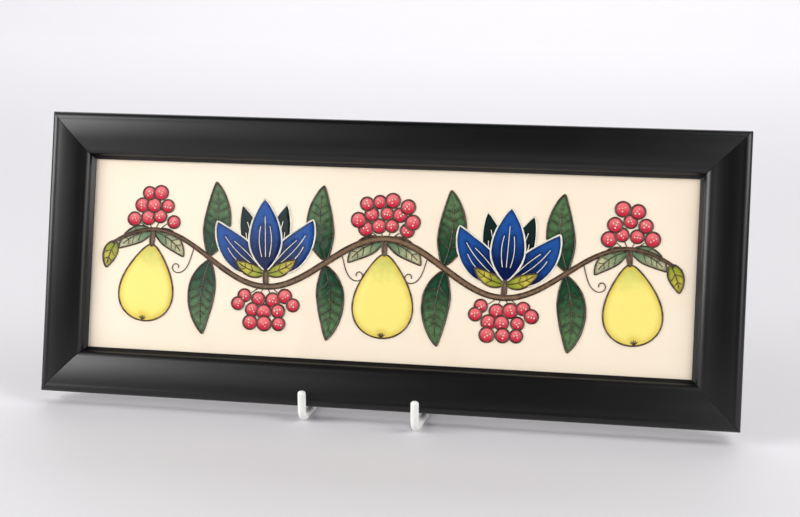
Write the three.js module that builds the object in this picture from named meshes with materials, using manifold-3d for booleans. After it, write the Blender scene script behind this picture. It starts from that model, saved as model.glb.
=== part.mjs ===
// A framed ceramic plaque on a wire plate stand, in millimetres.
// +Z is up and the plaque faces -Y. The origin is on the floor, below the middle of the whole object.
// The plaque is built upright round its own centre, then the group that holds it leans back.
import * as THREE from 'three';
import { mergeVertices } from 'three/addons/utils/BufferGeometryUtils.js';
import Module from 'manifold-3d';

const wasm = await Module();
wasm.setup();

// Tile and the board behind it
const TILE_WIDTH = 304.8;
const TILE_HEIGHT = 101.6;
const TILE_THICKNESS = 6.4;
const TILE_EDGE_BEVEL = 0.8;
const BOARD_THICKNESS = 2;
const BOARD_CLEARANCE = 0.3;
const BOARD_RECESS = 0.3;

// How the tile sits in the frame's rebate
const END_CLEARANCE = 1;
const SIDE_CLEARANCE = 0.3;
const FACE_CLEARANCE = 0.3;

// Section of the moulding, measured inwards from the outer edge and forwards from the outer arris
const RAIL_WIDTH = 23.4;
const SHOULDER_WIDTH = 3.8;
const SHOULDER_RISE = 3.6;
const CUSHION_RISE = 4.6;
const CUSHION_END_RISE = 4.1;
const INNER_SHOULDER_WIDTH = 3.7;
const SIGHT_WIDTH = 1.9;
const SIGHT_RISE = 1.5;
const SIGHT_EDGE_RISE = 0.2;
const LIP_COVER = 3.8;
const LIP_DEPTH = 0.7;
const BACK_EDGE_BEVEL = 0.6;
const MITRE_GAP = 0.3;

// How the plaque stands
const LEAN = THREE.MathUtils.degToRad(15.07);
const REST_GAP = 0.3;

// Wire stand
const WIRE = 4;
const WIRE_SIDES = 12;
const STAND_WIDTH = 56.8;
const STAND_OFFSET = -8.2;
const STAND_TURN = THREE.MathUtils.degToRad(5);
const PRONG_HEIGHT = 16.3;
const PRONG_BEND = 4.5;
const REAR_BEND = 7;
const TOP_BEND = 10;
const STRUT_HEIGHT = 85;
const STRUT_LEAN = THREE.MathUtils.degToRad(18.5);

// Raised slip lines
const SLIP_BASE = 1.5;
const SLIP_HEIGHT = 0.6;
const SLIP_ROOT = 0.3;
const MITRE_LIMIT = 2.2;

// Fruit scroll, drawn for a field of this size and scaled to the field that the frame leaves.
// One wave of the vine carries a pear under its crest and a flower in its trough.
const SCROLL_FIELD_WIDTH = 299.2;
const SCROLL_FIELD_HEIGHT = 94.6;
const VINE_WAVE = 118;
const VINE_RISE = 13;
const VINE_END_MARGIN = 10.6;
const VINE_STEPS = 46;
const VINE_THICK = 1.3;
const VINE_THIN = 0.55;
const PEAR_LENGTH = 41;
const PEAR_WIDTH = 30;
const PEAR_NECK = 0.4;
const PEAR_FLATNESS = 0.05;
const PEAR_STEPS = 20;
const SIDE_PEAR_SCALE = 0.94;
const SIDE_PEAR_LEAN = 5;
const PETAL_LENGTH = 36;
const PETAL_WIDTH = 15.5;
const PETAL_STEPS = 8;
const SIDE_PETAL_SPREAD = 44;
const BACK_PETAL_LENGTH = 35;
const BACK_PETAL_WIDTH = 12;
const BACK_PETAL_SPREAD = 19;
const BACK_PETAL_BEND = 10;
const MIDDLE_PETAL_WIDTH = 16.7;
const FLOWER_LEAN = 3;
const SEPAL_LENGTH = 17;
const SEPAL_WIDTH = 6.3;
const SEPAL_SPREAD = 66;
const SEPAL_BEND = 40;
const BIG_LEAF_LENGTH = 38;
const BIG_LEAF_WIDTH = 13.5;
const BIG_LEAF_BEND = 34;
const BIG_LEAF_TILT = 4;
const BIG_LEAF_FOOT = 0.6;
const SMALL_LEAF_LENGTH = 22;
const SMALL_LEAF_WIDTH = 9;
const SMALL_LEAF_BEND = 50;
const SMALL_LEAF_SPREAD = 58;
const END_LEAF_LENGTH = 15;
const END_LEAF_WIDTH = 7.2;
const END_LEAF_BEND = -30;
const END_LEAF_TURN = 160;
const END_LEAF_OVERLAP = 2;
const LEAF_STEPS = 7;
const LEAF_FULLNESS = 0.42;
const LEAF_SWELL = 0.8;
const STALK_LENGTH = 8.5;
const STALK_WIDTH = 2.3;
const STALK_BEND = 12;
const STALK_STEPS = 3;
const STALK_SWELL = 0.3;
const STALK_OVERLAP = 1;
const BERRY_RADIUS = 3.6;
const BERRY_SIDES = 6;
const BERRY_STANDOFF = 6.6;
const BERRY_PITCH = 6.84;
const BERRY_ROW_PITCH = 5.98;
const BERRY_DROOP = 0.02;
const BERRY_STRAY = 0.5;
const BERRY_VARIATION = 0.07;

// Sizes that follow from the ones above
const REBATE_EDGE = RAIL_WIDTH - LIP_COVER;
const FRAME_WIDTH = TILE_WIDTH + 2 * (REBATE_EDGE + END_CLEARANCE);
const FRAME_HEIGHT = TILE_HEIGHT + 2 * (REBATE_EDGE + SIDE_CLEARANCE);
const TILE_FACE = LIP_DEPTH + FACE_CLEARANCE;
const BOARD_FRONT = TILE_FACE + TILE_THICKNESS + BOARD_CLEARANCE;
const BACK_DEPTH = BOARD_FRONT + BOARD_THICKNESS + BOARD_RECESS;
const FIELD_SCALE = Math.min(
  (FRAME_WIDTH - 2 * RAIL_WIDTH) / SCROLL_FIELD_WIDTH,
  (FRAME_HEIGHT - 2 * RAIL_WIDTH) / SCROLL_FIELD_HEIGHT,
);
const VINE_REACH = SCROLL_FIELD_WIDTH / 2 - VINE_END_MARGIN;

const degrees = THREE.MathUtils.degToRad;

// Solids for joining and cutting

function asSolid(geometry) {
  const bare = geometry.clone();
  bare.deleteAttribute('normal');
  bare.deleteAttribute('uv');
  const merged = mergeVertices(bare, 1e-4);
  const triVerts = new Uint32Array(merged.index.array);
  const vertProperties = new Float32Array(merged.attributes.position.array);
  return new wasm.Manifold(new wasm.Mesh({ numProp: 3, vertProperties, triVerts }));
}

function asGeometry(solid) {
  const mesh = solid.getMesh();
  const geometry = new THREE.BufferGeometry();
  geometry.setAttribute('position', new THREE.BufferAttribute(mesh.vertProperties, mesh.numProp));
  geometry.setIndex(new THREE.BufferAttribute(mesh.triVerts, 1));
  geometry.computeVertexNormals();
  return geometry;
}

// A flat outline on the face becomes a block that runs from one depth to another; -Y is towards the viewer
function blockFromFace(outline, back, front) {
  const block = new THREE.ExtrudeGeometry(new THREE.Shape(outline), {
    depth: back - front,
    bevelEnabled: false,
  });
  block.rotateX(Math.PI / 2);
  block.translate(0, back, 0);
  return block;
}

// Frame

// A rounded outer shoulder, a gently cushioned face, a round drop to the sight edge, and the rebate behind
function mouldingSection() {
  const cushionEnd = RAIL_WIDTH - SIGHT_WIDTH - INNER_SHOULDER_WIDTH;
  const cushionMiddle = (SHOULDER_WIDTH + cushionEnd) / 2;
  const cushionPull = 2 * CUSHION_RISE - (SHOULDER_RISE + CUSHION_END_RISE) / 2;
  const drop = CUSHION_END_RISE - SIGHT_RISE;
  const section = new THREE.Shape();
  section.moveTo(BACK_EDGE_BEVEL, -BACK_DEPTH);
  section.lineTo(0, -BACK_DEPTH + BACK_EDGE_BEVEL);
  section.lineTo(0, 0);
  section.absellipse(SHOULDER_WIDTH, 0, SHOULDER_WIDTH, SHOULDER_RISE, Math.PI, Math.PI / 2, true, 0);
  section.quadraticCurveTo(cushionMiddle, cushionPull, cushionEnd, CUSHION_END_RISE);
  section.absellipse(cushionEnd, SIGHT_RISE, INNER_SHOULDER_WIDTH, drop, Math.PI / 2, 0, true, 0);
  section.lineTo(RAIL_WIDTH, SIGHT_EDGE_RISE);
  section.lineTo(RAIL_WIDTH, -LIP_DEPTH);
  section.lineTo(REBATE_EDGE, -LIP_DEPTH);
  section.lineTo(REBATE_EDGE, -BACK_DEPTH);
  section.closePath();
  return section;
}

const CURVE_STEPS = 6;
const SECTION = mouldingSection();
const SECTION_POINTS = SECTION.getPoints(CURVE_STEPS);

function mitredRail(outerLength) {
  const rail = new THREE.ExtrudeGeometry(SECTION, {
    depth: 1,
    bevelEnabled: false,
    curveSegments: CURVE_STEPS,
  });
  const place = rail.attributes.position;
  const halfGap = MITRE_GAP / Math.SQRT2;
  for (let i = 0; i < place.count; i += 1) {
    const inwards = place.getX(i);
    const forwards = place.getY(i);
    const end = place.getZ(i) > 0.5 ? 1 : -1;
    place.setXYZ(i, end * (outerLength / 2 - inwards - halfGap), -forwards, inwards);
  }
  return rail;
}

// Drawing on the face: points are THREE.Vector2, x to the right and y up the face, headings in degrees

function along(at, heading, distance) {
  return new THREE.Vector2(distance, 0).rotateAround(new THREE.Vector2(0, 0), degrees(heading)).add(at);
}

function placed(outline, heading, at) {
  const pivot = new THREE.Vector2(0, 0);
  return outline.map((point) => point.clone().rotateAround(pivot, degrees(heading)).add(at));
}

// A leaf, petal or stalk from its foot at the origin, along +x, with its middle line bent by the given angle
function leafOutline(length, width, bend, steps = LEAF_STEPS, swell = LEAF_SWELL) {
  const left = [];
  const right = [];
  let centre = new THREE.Vector2(0, 0);
  for (let i = 0; i <= steps; i += 1) {
    const share = i / steps;
    if (i > 0) {
      centre = along(centre, bend * (share - 0.5 - 0.5 / steps), length / steps);
    }
    const early = share < LEAF_FULLNESS;
    const phase = early ? share / LEAF_FULLNESS / 2 : 0.5 + (share - LEAF_FULLNESS) / (1 - LEAF_FULLNESS) / 2;
    const half = (width / 2) * Math.max(Math.sin(Math.PI * phase), 0) ** swell;
    left.push(along(centre, bend * (share - 0.5) + 90, half));
    right.push(along(centre, bend * (share - 0.5) - 90, half));
  }
  return left.concat(right.slice(1, -1).reverse());
}

function pearOutline(scale) {
  const sideways = (angle) => (
    Math.sin(angle) * (1 - PEAR_NECK * Math.cos(angle) - PEAR_FLATNESS * Math.cos(2 * angle))
  );
  const angles = Array.from({ length: PEAR_STEPS }, (_, i) => (2 * Math.PI * i) / PEAR_STEPS);
  const widest = Math.max(...angles.map(sideways));
  return angles.map((angle) => new THREE.Vector2(
    (scale * PEAR_LENGTH * (1 - Math.cos(angle))) / 2,
    (scale * PEAR_WIDTH * sideways(angle)) / widest / 2,
  ));
}

function berryOutline(radius) {
  return Array.from({ length: BERRY_SIDES }, (_, i) => (
    along(new THREE.Vector2(0, 0), (360 * i) / BERRY_SIDES, radius)
  ));
}

const vineHeight = (x) => VINE_RISE * Math.cos((2 * Math.PI * x) / VINE_WAVE);

function vineOutline() {
  const upper = [];
  const lower = [];
  for (let i = 0; i <= VINE_STEPS; i += 1) {
    const x = VINE_REACH * ((2 * i) / VINE_STEPS - 1);
    const slope = ((-VINE_RISE * 2 * Math.PI) / VINE_WAVE) * Math.sin((2 * Math.PI * x) / VINE_WAVE);
    const across = new THREE.Vector2(-slope, 1).normalize();
    const half = VINE_THIN + (VINE_THICK - VINE_THIN) * Math.cos((Math.PI * x) / 2 / VINE_REACH);
    upper.push(new THREE.Vector2(x, vineHeight(x)).addScaledVector(across, half));
    lower.push(new THREE.Vector2(x, vineHeight(x)).addScaledVector(across, -half));
  }
  return upper.concat(lower.reverse());
}

// A bunch on one side of the vine, 1 above or -1 below; sines stray the berries a little, as a hand does
function berries(x, side, rows, phase) {
  const outlines = [];
  rows.forEach((count, row) => {
    for (let i = 0; i < count; i += 1) {
      const n = outlines.length;
      const off = (i - (count - 1) / 2) * BERRY_PITCH;
      const out = VINE_RISE + BERRY_STANDOFF + row * BERRY_ROW_PITCH - BERRY_DROOP * off * off;
      const at = new THREE.Vector2(
        x + off + BERRY_STRAY * Math.sin(2.1 * n + phase),
        side * out + BERRY_STRAY * Math.cos(3.3 * n + phase),
      );
      const radius = BERRY_RADIUS * (1 + BERRY_VARIATION * (Math.sin(1.7 * n + phase) - 0.7));
      outlines.push(placed(berryOutline(radius), 0, at));
    }
  });
  return outlines;
}

function pearSpray(x, lean, scale) {
  const foot = new THREE.Vector2(x, VINE_RISE);
  const down = -90 + lean;
  const length = SMALL_LEAF_LENGTH * scale;
  const width = SMALL_LEAF_WIDTH * scale;
  const leaf = (side) => leafOutline(length, width, -side * SMALL_LEAF_BEND);
  return [
    placed(leaf(-1), down - SMALL_LEAF_SPREAD, along(foot, down, STALK_OVERLAP)),
    placed(leaf(1), down + SMALL_LEAF_SPREAD, along(foot, down, STALK_OVERLAP)),
    placed(pearOutline(scale), down, along(foot, down, STALK_LENGTH - STALK_OVERLAP)),
    placed(leafOutline(STALK_LENGTH, STALK_WIDTH, STALK_BEND, STALK_STEPS, STALK_SWELL), down, foot),
  ];
}

function flowerSpray(x, lean) {
  const foot = new THREE.Vector2(x, -VINE_RISE);
  const up = 90 + lean;
  const base = along(foot, up, STALK_LENGTH - STALK_OVERLAP);
  const backPetal = (side) => leafOutline(BACK_PETAL_LENGTH, BACK_PETAL_WIDTH, side * BACK_PETAL_BEND);
  const sidePetal = (side) => leafOutline(PETAL_LENGTH, PETAL_WIDTH, side * SIDE_PETAL_SPREAD, PETAL_STEPS);
  const sepal = (side) => leafOutline(SEPAL_LENGTH, SEPAL_WIDTH, side * SEPAL_BEND);
  return [
    placed(backPetal(-1), up + BACK_PETAL_SPREAD, base),
    placed(backPetal(1), up - BACK_PETAL_SPREAD, base),
    placed(sidePetal(-1), up + SIDE_PETAL_SPREAD, base),
    placed(sidePetal(1), up - SIDE_PETAL_SPREAD, base),
    placed(leafOutline(PETAL_LENGTH, MIDDLE_PETAL_WIDTH, 0, PETAL_STEPS), up, base),
    placed(sepal(-1), up + SEPAL_SPREAD, along(base, up, -STALK_OVERLAP)),
    placed(sepal(1), up - SEPAL_SPREAD, along(base, up, -STALK_OVERLAP)),
    placed(leafOutline(STALK_LENGTH, STALK_WIDTH, 0, STALK_STEPS, STALK_SWELL), up, foot),
  ];
}

// Two leaves where the vine crosses the middle line, one up and one down, counted in quarter waves
function bigLeaves(crossing) {
  const x = (crossing * VINE_WAVE) / 4;
  const outwards = Math.abs(crossing) === 1 ? Math.sign(crossing) : -Math.sign(crossing);
  return [1, -1].map((side) => placed(
    leafOutline(BIG_LEAF_LENGTH, BIG_LEAF_WIDTH, outwards * BIG_LEAF_BEND),
    side * 90 - outwards * BIG_LEAF_TILT,
    new THREE.Vector2(x - side * outwards * BIG_LEAF_FOOT, side * BIG_LEAF_FOOT),
  ));
}

function endLeaf(side) {
  const x = side * (VINE_REACH - END_LEAF_OVERLAP);
  const leaf = leafOutline(END_LEAF_LENGTH, END_LEAF_WIDTH, side * END_LEAF_BEND);
  return placed(leaf, 90 - side * END_LEAF_TURN, new THREE.Vector2(x, vineHeight(x)));
}

// Outlines in the order that they are laid: a later one hides what it covers
function scroll() {
  const outlines = [
    ...[-3, -1, 1, 3].flatMap(bigLeaves),
    ...[-1, 1].map(endLeaf),
    ...berries(-VINE_WAVE, 1, [4, 3, 2], 0),
    ...berries(0, 1, [4, 5, 4], 1),
    ...berries(VINE_WAVE, 1, [4, 3, 2], 2),
    ...berries(-VINE_WAVE / 2, -1, [4, 5, 3], 4),
    ...berries(VINE_WAVE / 2, -1, [4, 5, 3], 5),
    ...pearSpray(-VINE_WAVE, -SIDE_PEAR_LEAN, SIDE_PEAR_SCALE),
    ...pearSpray(0, 0, 1),
    ...pearSpray(VINE_WAVE, SIDE_PEAR_LEAN, SIDE_PEAR_SCALE),
    ...flowerSpray(-VINE_WAVE / 2, FLOWER_LEAN),
    ...flowerSpray(VINE_WAVE / 2, -FLOWER_LEAN),
    vineOutline(),
  ];
  return outlines.map((outline) => outline.map((point) => point.multiplyScalar(FIELD_SCALE)));
}

// A raised line of triangular section along a closed outline, with its root sunk in the face
function slipLine(outline, face) {
  const loop = THREE.ShapeUtils.area(outline) < 0 ? outline.slice().reverse() : outline;
  const count = loop.length;
  const positions = [];
  loop.forEach((point, i) => {
    const before = point.clone().sub(loop[(i + count - 1) % count]).normalize();
    const after = loop[(i + 1) % count].clone().sub(point).normalize();
    const across = new THREE.Vector2(before.y + after.y, -before.x - after.x).normalize();
    const squareness = Math.max(across.dot(new THREE.Vector2(after.y, -after.x)), 1 / MITRE_LIMIT);
    const reach = SLIP_BASE / 2 / squareness;
    positions.push(point.x + across.x * reach, face + SLIP_ROOT, point.y + across.y * reach);
    positions.push(point.x, face - SLIP_HEIGHT, point.y);
    positions.push(point.x - across.x * reach, face + SLIP_ROOT, point.y - across.y * reach);
  });
  const triangles = [];
  for (let i = 0; i < count; i += 1) {
    const here = 3 * i;
    const next = 3 * ((i + 1) % count);
    for (let edge = 0; edge < 3; edge += 1) {
      const a = here + edge;
      const b = here + ((edge + 1) % 3);
      const c = next + edge;
      const d = next + ((edge + 1) % 3);
      triangles.push(a, c, b, b, c, d);
    }
  }
  const line = new THREE.BufferGeometry();
  line.setAttribute('position', new THREE.Float32BufferAttribute(positions, 3));
  line.setIndex(triangles);
  return line;
}

// The tile: a slab with softened front edges, and the slip lines standing on it
function tileSolid() {
  const face = TILE_FACE;
  const back = face + TILE_THICKNESS;
  const slabShape = new THREE.Shape([
    new THREE.Vector2(-TILE_WIDTH / 2 + TILE_EDGE_BEVEL, -TILE_HEIGHT / 2 + TILE_EDGE_BEVEL),
    new THREE.Vector2(TILE_WIDTH / 2 - TILE_EDGE_BEVEL, -TILE_HEIGHT / 2 + TILE_EDGE_BEVEL),
    new THREE.Vector2(TILE_WIDTH / 2 - TILE_EDGE_BEVEL, TILE_HEIGHT / 2 - TILE_EDGE_BEVEL),
    new THREE.Vector2(-TILE_WIDTH / 2 + TILE_EDGE_BEVEL, TILE_HEIGHT / 2 - TILE_EDGE_BEVEL),
  ]);
  const slab = new THREE.ExtrudeGeometry(slabShape, {
    depth: TILE_THICKNESS - 2 * TILE_EDGE_BEVEL,
    bevelThickness: TILE_EDGE_BEVEL,
    bevelSize: TILE_EDGE_BEVEL,
    bevelSegments: 2,
  });
  slab.rotateX(Math.PI / 2);
  slab.translate(0, back - TILE_EDGE_BEVEL, 0);
  let lines = null;
  for (const outline of scroll()) {
    const line = asSolid(slipLine(outline, face));
    if (lines === null) {
      lines = line;
    } else {
      const covered = asSolid(blockFromFace(outline, face + 2 * SLIP_ROOT, face - 2 * SLIP_HEIGHT));
      lines = lines.subtract(covered).add(line);
    }
  }
  return asGeometry(asSolid(slab).add(lines));
}

function boardGeometry() {
  const opening = 2 * (REBATE_EDGE + BOARD_CLEARANCE);
  const board = new THREE.BoxGeometry(FRAME_WIDTH - opening, BOARD_THICKNESS, FRAME_HEIGHT - opening);
  board.translate(0, BOARD_FRONT + BOARD_THICKNESS / 2, 0);
  return board;
}

// Wire stand: side view points are (reach behind the prongs, height), and both sides are alike.
// It stands a little turned under the frame, which meets the rear prong and the nearer end of the bar.

// The leaning frame as the stand meets it: its lowest corner, its foremost point and its back
const lowestOfFrame = Math.min(...SECTION_POINTS.map((point) => (
  point.y * Math.sin(LEAN) - (FRAME_HEIGHT / 2 - point.x) * Math.cos(LEAN)
)));
const centreHeight = WIRE + REST_GAP - lowestOfFrame;
const frontOfFrame = Math.min(...SECTION_POINTS.map((point) => (
  -point.y * Math.cos(LEAN) - (FRAME_HEIGHT / 2 - point.x) * Math.sin(LEAN)
)));

function backOfFrame(height) {
  const upTheBack = (height - centreHeight + BACK_DEPTH * Math.sin(LEAN)) / Math.cos(LEAN);
  return BACK_DEPTH * Math.cos(LEAN) + upTheBack * Math.sin(LEAN);
}

const prongY = frontOfFrame - REST_GAP - WIRE / 2;
const barY = backOfFrame(STRUT_HEIGHT) + (REST_GAP + WIRE / 2) / Math.cos(LEAN);
const turnedShare = Math.sin(Math.abs(STAND_TURN));
const prongStagger = (STAND_WIDTH / 2) * turnedShare;
const barStagger = (STAND_WIDTH / 2 - TOP_BEND) * turnedShare;
const standY = prongY - prongStagger;
const barReach = (barY - standY + barStagger) / Math.cos(STAND_TURN);
const strutEndZ = WIRE / 2 + REAR_BEND * (1 + Math.sin(STRUT_LEAN));
const strutEndReach = barReach + (STRUT_HEIGHT - strutEndZ) * Math.tan(STRUT_LEAN);
const rearBendReach = strutEndReach - REAR_BEND * Math.cos(STRUT_LEAN);
const frontOfStand = standY - prongStagger - WIRE / 2;
const rearOfStand = standY + prongStagger + (rearBendReach + REAR_BEND) * Math.cos(STAND_TURN) + WIRE / 2;

function arcPoints(centreY, centreZ, radius, from, to, steps) {
  return Array.from({ length: steps + 1 }, (_, i) => {
    const angle = from + ((to - from) * i) / steps;
    return [centreY + radius * Math.cos(angle), centreZ + radius * Math.sin(angle)];
  });
}

// From the tip of a prong, down, back along the floor, round the rear bend and up to the top bend
function sideRoute() {
  const quarter = Math.PI / 2;
  return [
    [0, PRONG_HEIGHT - WIRE / 2],
    ...arcPoints(PRONG_BEND, WIRE / 2 + PRONG_BEND, PRONG_BEND, 2 * quarter, 3 * quarter, 5),
    ...arcPoints(rearBendReach, WIRE / 2 + REAR_BEND, REAR_BEND, -quarter, 0, 4),
    ...arcPoints(rearBendReach, WIRE / 2 + REAR_BEND, REAR_BEND, 0, STRUT_LEAN, 1).slice(1),
  ];
}

function wirePoints() {
  const half = STAND_WIDTH / 2;
  const side = (x) => sideRoute().map(([y, z]) => new THREE.Vector3(x, y, z));
  const upTheStrut = new THREE.Vector3(0, -Math.sin(STRUT_LEAN), Math.cos(STRUT_LEAN));
  const middle = new THREE.Vector3(0, barReach, STRUT_HEIGHT);
  const steps = 6;
  const topBend = (way) => Array.from({ length: steps + 1 }, (_, i) => {
    const angle = (Math.PI / 2) * (i / steps);
    const sideways = half - TOP_BEND + TOP_BEND * Math.cos(angle);
    const up = TOP_BEND * (Math.sin(angle) - 1);
    return middle.clone().addScaledVector(upTheStrut, up).add(new THREE.Vector3(way * sideways, 0, 0));
  });
  return [
    ...side(-half),
    ...topBend(-1),
    ...topBend(1).reverse(),
    ...side(half).reverse(),
  ];
}

// A curve whose evenly spaced places are the given points, so that straight stretches need no extra steps
class PointRoute extends THREE.Curve {
  constructor(points) {
    super();
    this.points = points;
  }

  getPointAt(share, target = new THREE.Vector3()) {
    return target.copy(this.points[Math.round(share * (this.points.length - 1))]);
  }

  getTangentAt(share, target = new THREE.Vector3()) {
    const last = this.points.length - 1;
    const i = Math.round(share * last);
    const before = this.points[i].clone().sub(this.points[Math.max(i - 1, 0)]).normalize();
    const after = this.points[Math.min(i + 1, last)].clone().sub(this.points[i]).normalize();
    return target.copy(before.add(after).normalize());
  }
}

function standGeometry() {
  const points = wirePoints();
  const corner = WIRE / 2 / Math.cos(Math.PI / WIRE_SIDES);
  const section = new THREE.Shape(Array.from({ length: WIRE_SIDES }, (_, i) => {
    const angle = (2 * Math.PI * (i + 0.5)) / WIRE_SIDES;
    return new THREE.Vector2(corner * Math.cos(angle), corner * Math.sin(angle));
  }));
  const wire = new THREE.ExtrudeGeometry(section, {
    steps: points.length - 1,
    extrudePath: new PointRoute(points),
  });
  let stand = asSolid(wire);
  for (const end of [points[0], points[points.length - 1]]) {
    const tip = new THREE.SphereGeometry(WIRE / 2, WIRE_SIDES, 8);
    tip.rotateX(Math.PI / 2);
    tip.translate(end.x, end.y, end.z);
    stand = stand.add(asSolid(tip));
  }
  return asGeometry(stand);
}

// The finished object

function piece(name, geometry, material) {
  const mesh = new THREE.Mesh(geometry, material);
  mesh.name = name;
  return mesh;
}

const finish = (color, roughness) => new THREE.MeshStandardMaterial({ color, roughness, metalness: 0 });
const blackLacquer = () => finish(0x141213, 0.38);

const plaque = new THREE.Group();
const rails = [
  ['frame_rail_bottom', FRAME_WIDTH, 0, 0, -FRAME_HEIGHT / 2],
  ['frame_rail_top', FRAME_WIDTH, Math.PI, 0, FRAME_HEIGHT / 2],
  ['frame_rail_left', FRAME_HEIGHT, Math.PI / 2, -FRAME_WIDTH / 2, 0],
  ['frame_rail_right', FRAME_HEIGHT, -Math.PI / 2, FRAME_WIDTH / 2, 0],
];
for (const [name, outerLength, turn, x, z] of rails) {
  const rail = piece(name, mitredRail(outerLength), blackLacquer());
  rail.rotation.y = turn;
  rail.position.set(x, 0, z);
  plaque.add(rail);
}
plaque.add(piece('ceramic_plaque', tileSolid(), finish(0xffefdb, 0.12)));
plaque.add(piece('backing_board', boardGeometry(), finish(0x8a6f52, 0.8)));
plaque.rotation.x = -LEAN;
plaque.position.z = centreHeight;

const stand = piece('wire_plate_stand', standGeometry(), finish(0xf4f4f2, 0.35));
stand.rotation.z = -STAND_TURN;
stand.position.set(STAND_OFFSET, standY, 0);

const group = new THREE.Group();
group.add(plaque);
group.add(stand);
group.position.y = -(frontOfStand + rearOfStand) / 2;

export default group;
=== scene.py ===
"""Dresses the framed ceramic plaque: glazed tile, lacquered frame, wire plate stand and studio."""

from __future__ import annotations

import logging
import math
from collections.abc import Iterable, Sequence
from dataclasses import dataclass, field, replace
from enum import Enum
from typing import Any

import bmesh
import bpy
import numpy as np
from mathutils import Matrix, Vector, kdtree, noise
from mathutils.geometry import delaunay_2d_cdt


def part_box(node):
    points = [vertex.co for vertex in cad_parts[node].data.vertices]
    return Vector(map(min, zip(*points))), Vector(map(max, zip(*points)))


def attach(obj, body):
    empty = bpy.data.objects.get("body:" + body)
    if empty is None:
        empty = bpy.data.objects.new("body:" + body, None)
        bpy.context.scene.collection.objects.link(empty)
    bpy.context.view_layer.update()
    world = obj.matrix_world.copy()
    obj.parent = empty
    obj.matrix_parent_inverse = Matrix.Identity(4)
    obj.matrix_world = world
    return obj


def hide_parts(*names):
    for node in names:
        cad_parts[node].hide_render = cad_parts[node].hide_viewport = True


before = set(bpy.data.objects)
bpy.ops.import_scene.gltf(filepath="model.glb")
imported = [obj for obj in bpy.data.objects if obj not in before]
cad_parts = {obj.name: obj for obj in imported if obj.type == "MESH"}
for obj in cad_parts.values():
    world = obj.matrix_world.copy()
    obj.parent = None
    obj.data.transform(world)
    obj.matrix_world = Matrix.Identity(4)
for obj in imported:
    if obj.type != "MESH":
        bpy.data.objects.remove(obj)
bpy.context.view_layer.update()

LOG = logging.getLogger("plaque")
MM = 0.001
BODY = "root"
Colour = tuple[float, float, float, float]
Pair = tuple[float, float]
Point = Pair


def srgb(red: int, green: int, blue: int) -> Colour:
    """A colour given in screen values from 0 to 255.

    Args:
        red: Screen value of red.
        green: Screen value of green.
        blue: Screen value of blue.

    Returns:
        The linear colour with full alpha.
    """
    def linear(value: int) -> float:
        """One channel in linear light."""
        share = value / 255
        return share / 12.92 if share <= 0.04045 else ((share + 0.055) / 1.055) ** 2.4

    return (linear(red), linear(green), linear(blue), 1.0)


class Glaze(Enum):
    """The glazes that fill the drawing, each with its own pot."""

    CREAM = "cream_ground"
    FOREST = "forest_green"
    LIME = "lime_green"
    SAGE = "sage_green"
    CORAL = "coral_red"
    LEMON = "lemon_yellow"
    COBALT = "cobalt_blue"
    INK = "ink_black"
    BARK = "bark_brown"


class Slip(Enum):
    """The two clays that the raised lines are trailed in."""

    BROWN = "brown_slip"
    PALE = "pale_slip"


class Value:
    """A number carried by a shader socket, with arithmetic that adds Math nodes."""

    def __init__(self, graph: ShaderGraph, socket: bpy.types.NodeSocket) -> None:
        """Wraps an output socket of the graph."""
        self.graph = graph
        self.socket = socket

    def __add__(self, other: Value | float) -> Value:
        """Sum."""
        return self.graph.math("ADD", self, other)

    def __sub__(self, other: Value | float) -> Value:
        """Difference."""
        return self.graph.math("SUBTRACT", self, other)

    def __rsub__(self, other: Value | float) -> Value:
        """Difference from a plain number."""
        return self.graph.math("SUBTRACT", other, self)

    def __mul__(self, other: Value | float) -> Value:
        """Product."""
        return self.graph.math("MULTIPLY", self, other)

    def __truediv__(self, other: Value | float) -> Value:
        """Quotient."""
        return self.graph.math("DIVIDE", self, other)

    __radd__ = __add__
    __rmul__ = __mul__

    def ramp(self, low: float, high: float) -> Value:
        """A smooth step from 0 at low to 1 at high."""
        inputs = {"Value": self, "From Min": low, "From Max": high}
        outputs = self.graph.node("MapRange", inputs, interpolation_type="SMOOTHSTEP")
        return Value(self.graph, outputs["Result"])

    def over(self, least: float, swing: float) -> Value:
        """A least amount that rises by the swing as the value goes to 1."""
        return self * swing + least


def add_node(
    tree: bpy.types.NodeTree, kind: str, inputs: dict[str | int, Any], settings: dict[str, Any]
) -> bpy.types.Node:
    """Adds a node to a tree.

    Args:
        tree: The tree.
        kind: Blender's name for the node type.
        inputs: A value, a Value or a socket for each named or numbered input.
        settings: Properties of the node, which are set before its inputs.

    Returns:
        The new node.
    """
    node = tree.nodes.new(kind)
    for name, value in settings.items():
        setattr(node, name, value)
    for name, value in inputs.items():
        source = value.socket if isinstance(value, Value) else value
        if isinstance(source, bpy.types.NodeSocket):
            tree.links.new(source, node.inputs[name])
        else:
            node.inputs[name].default_value = source
    return node


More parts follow.
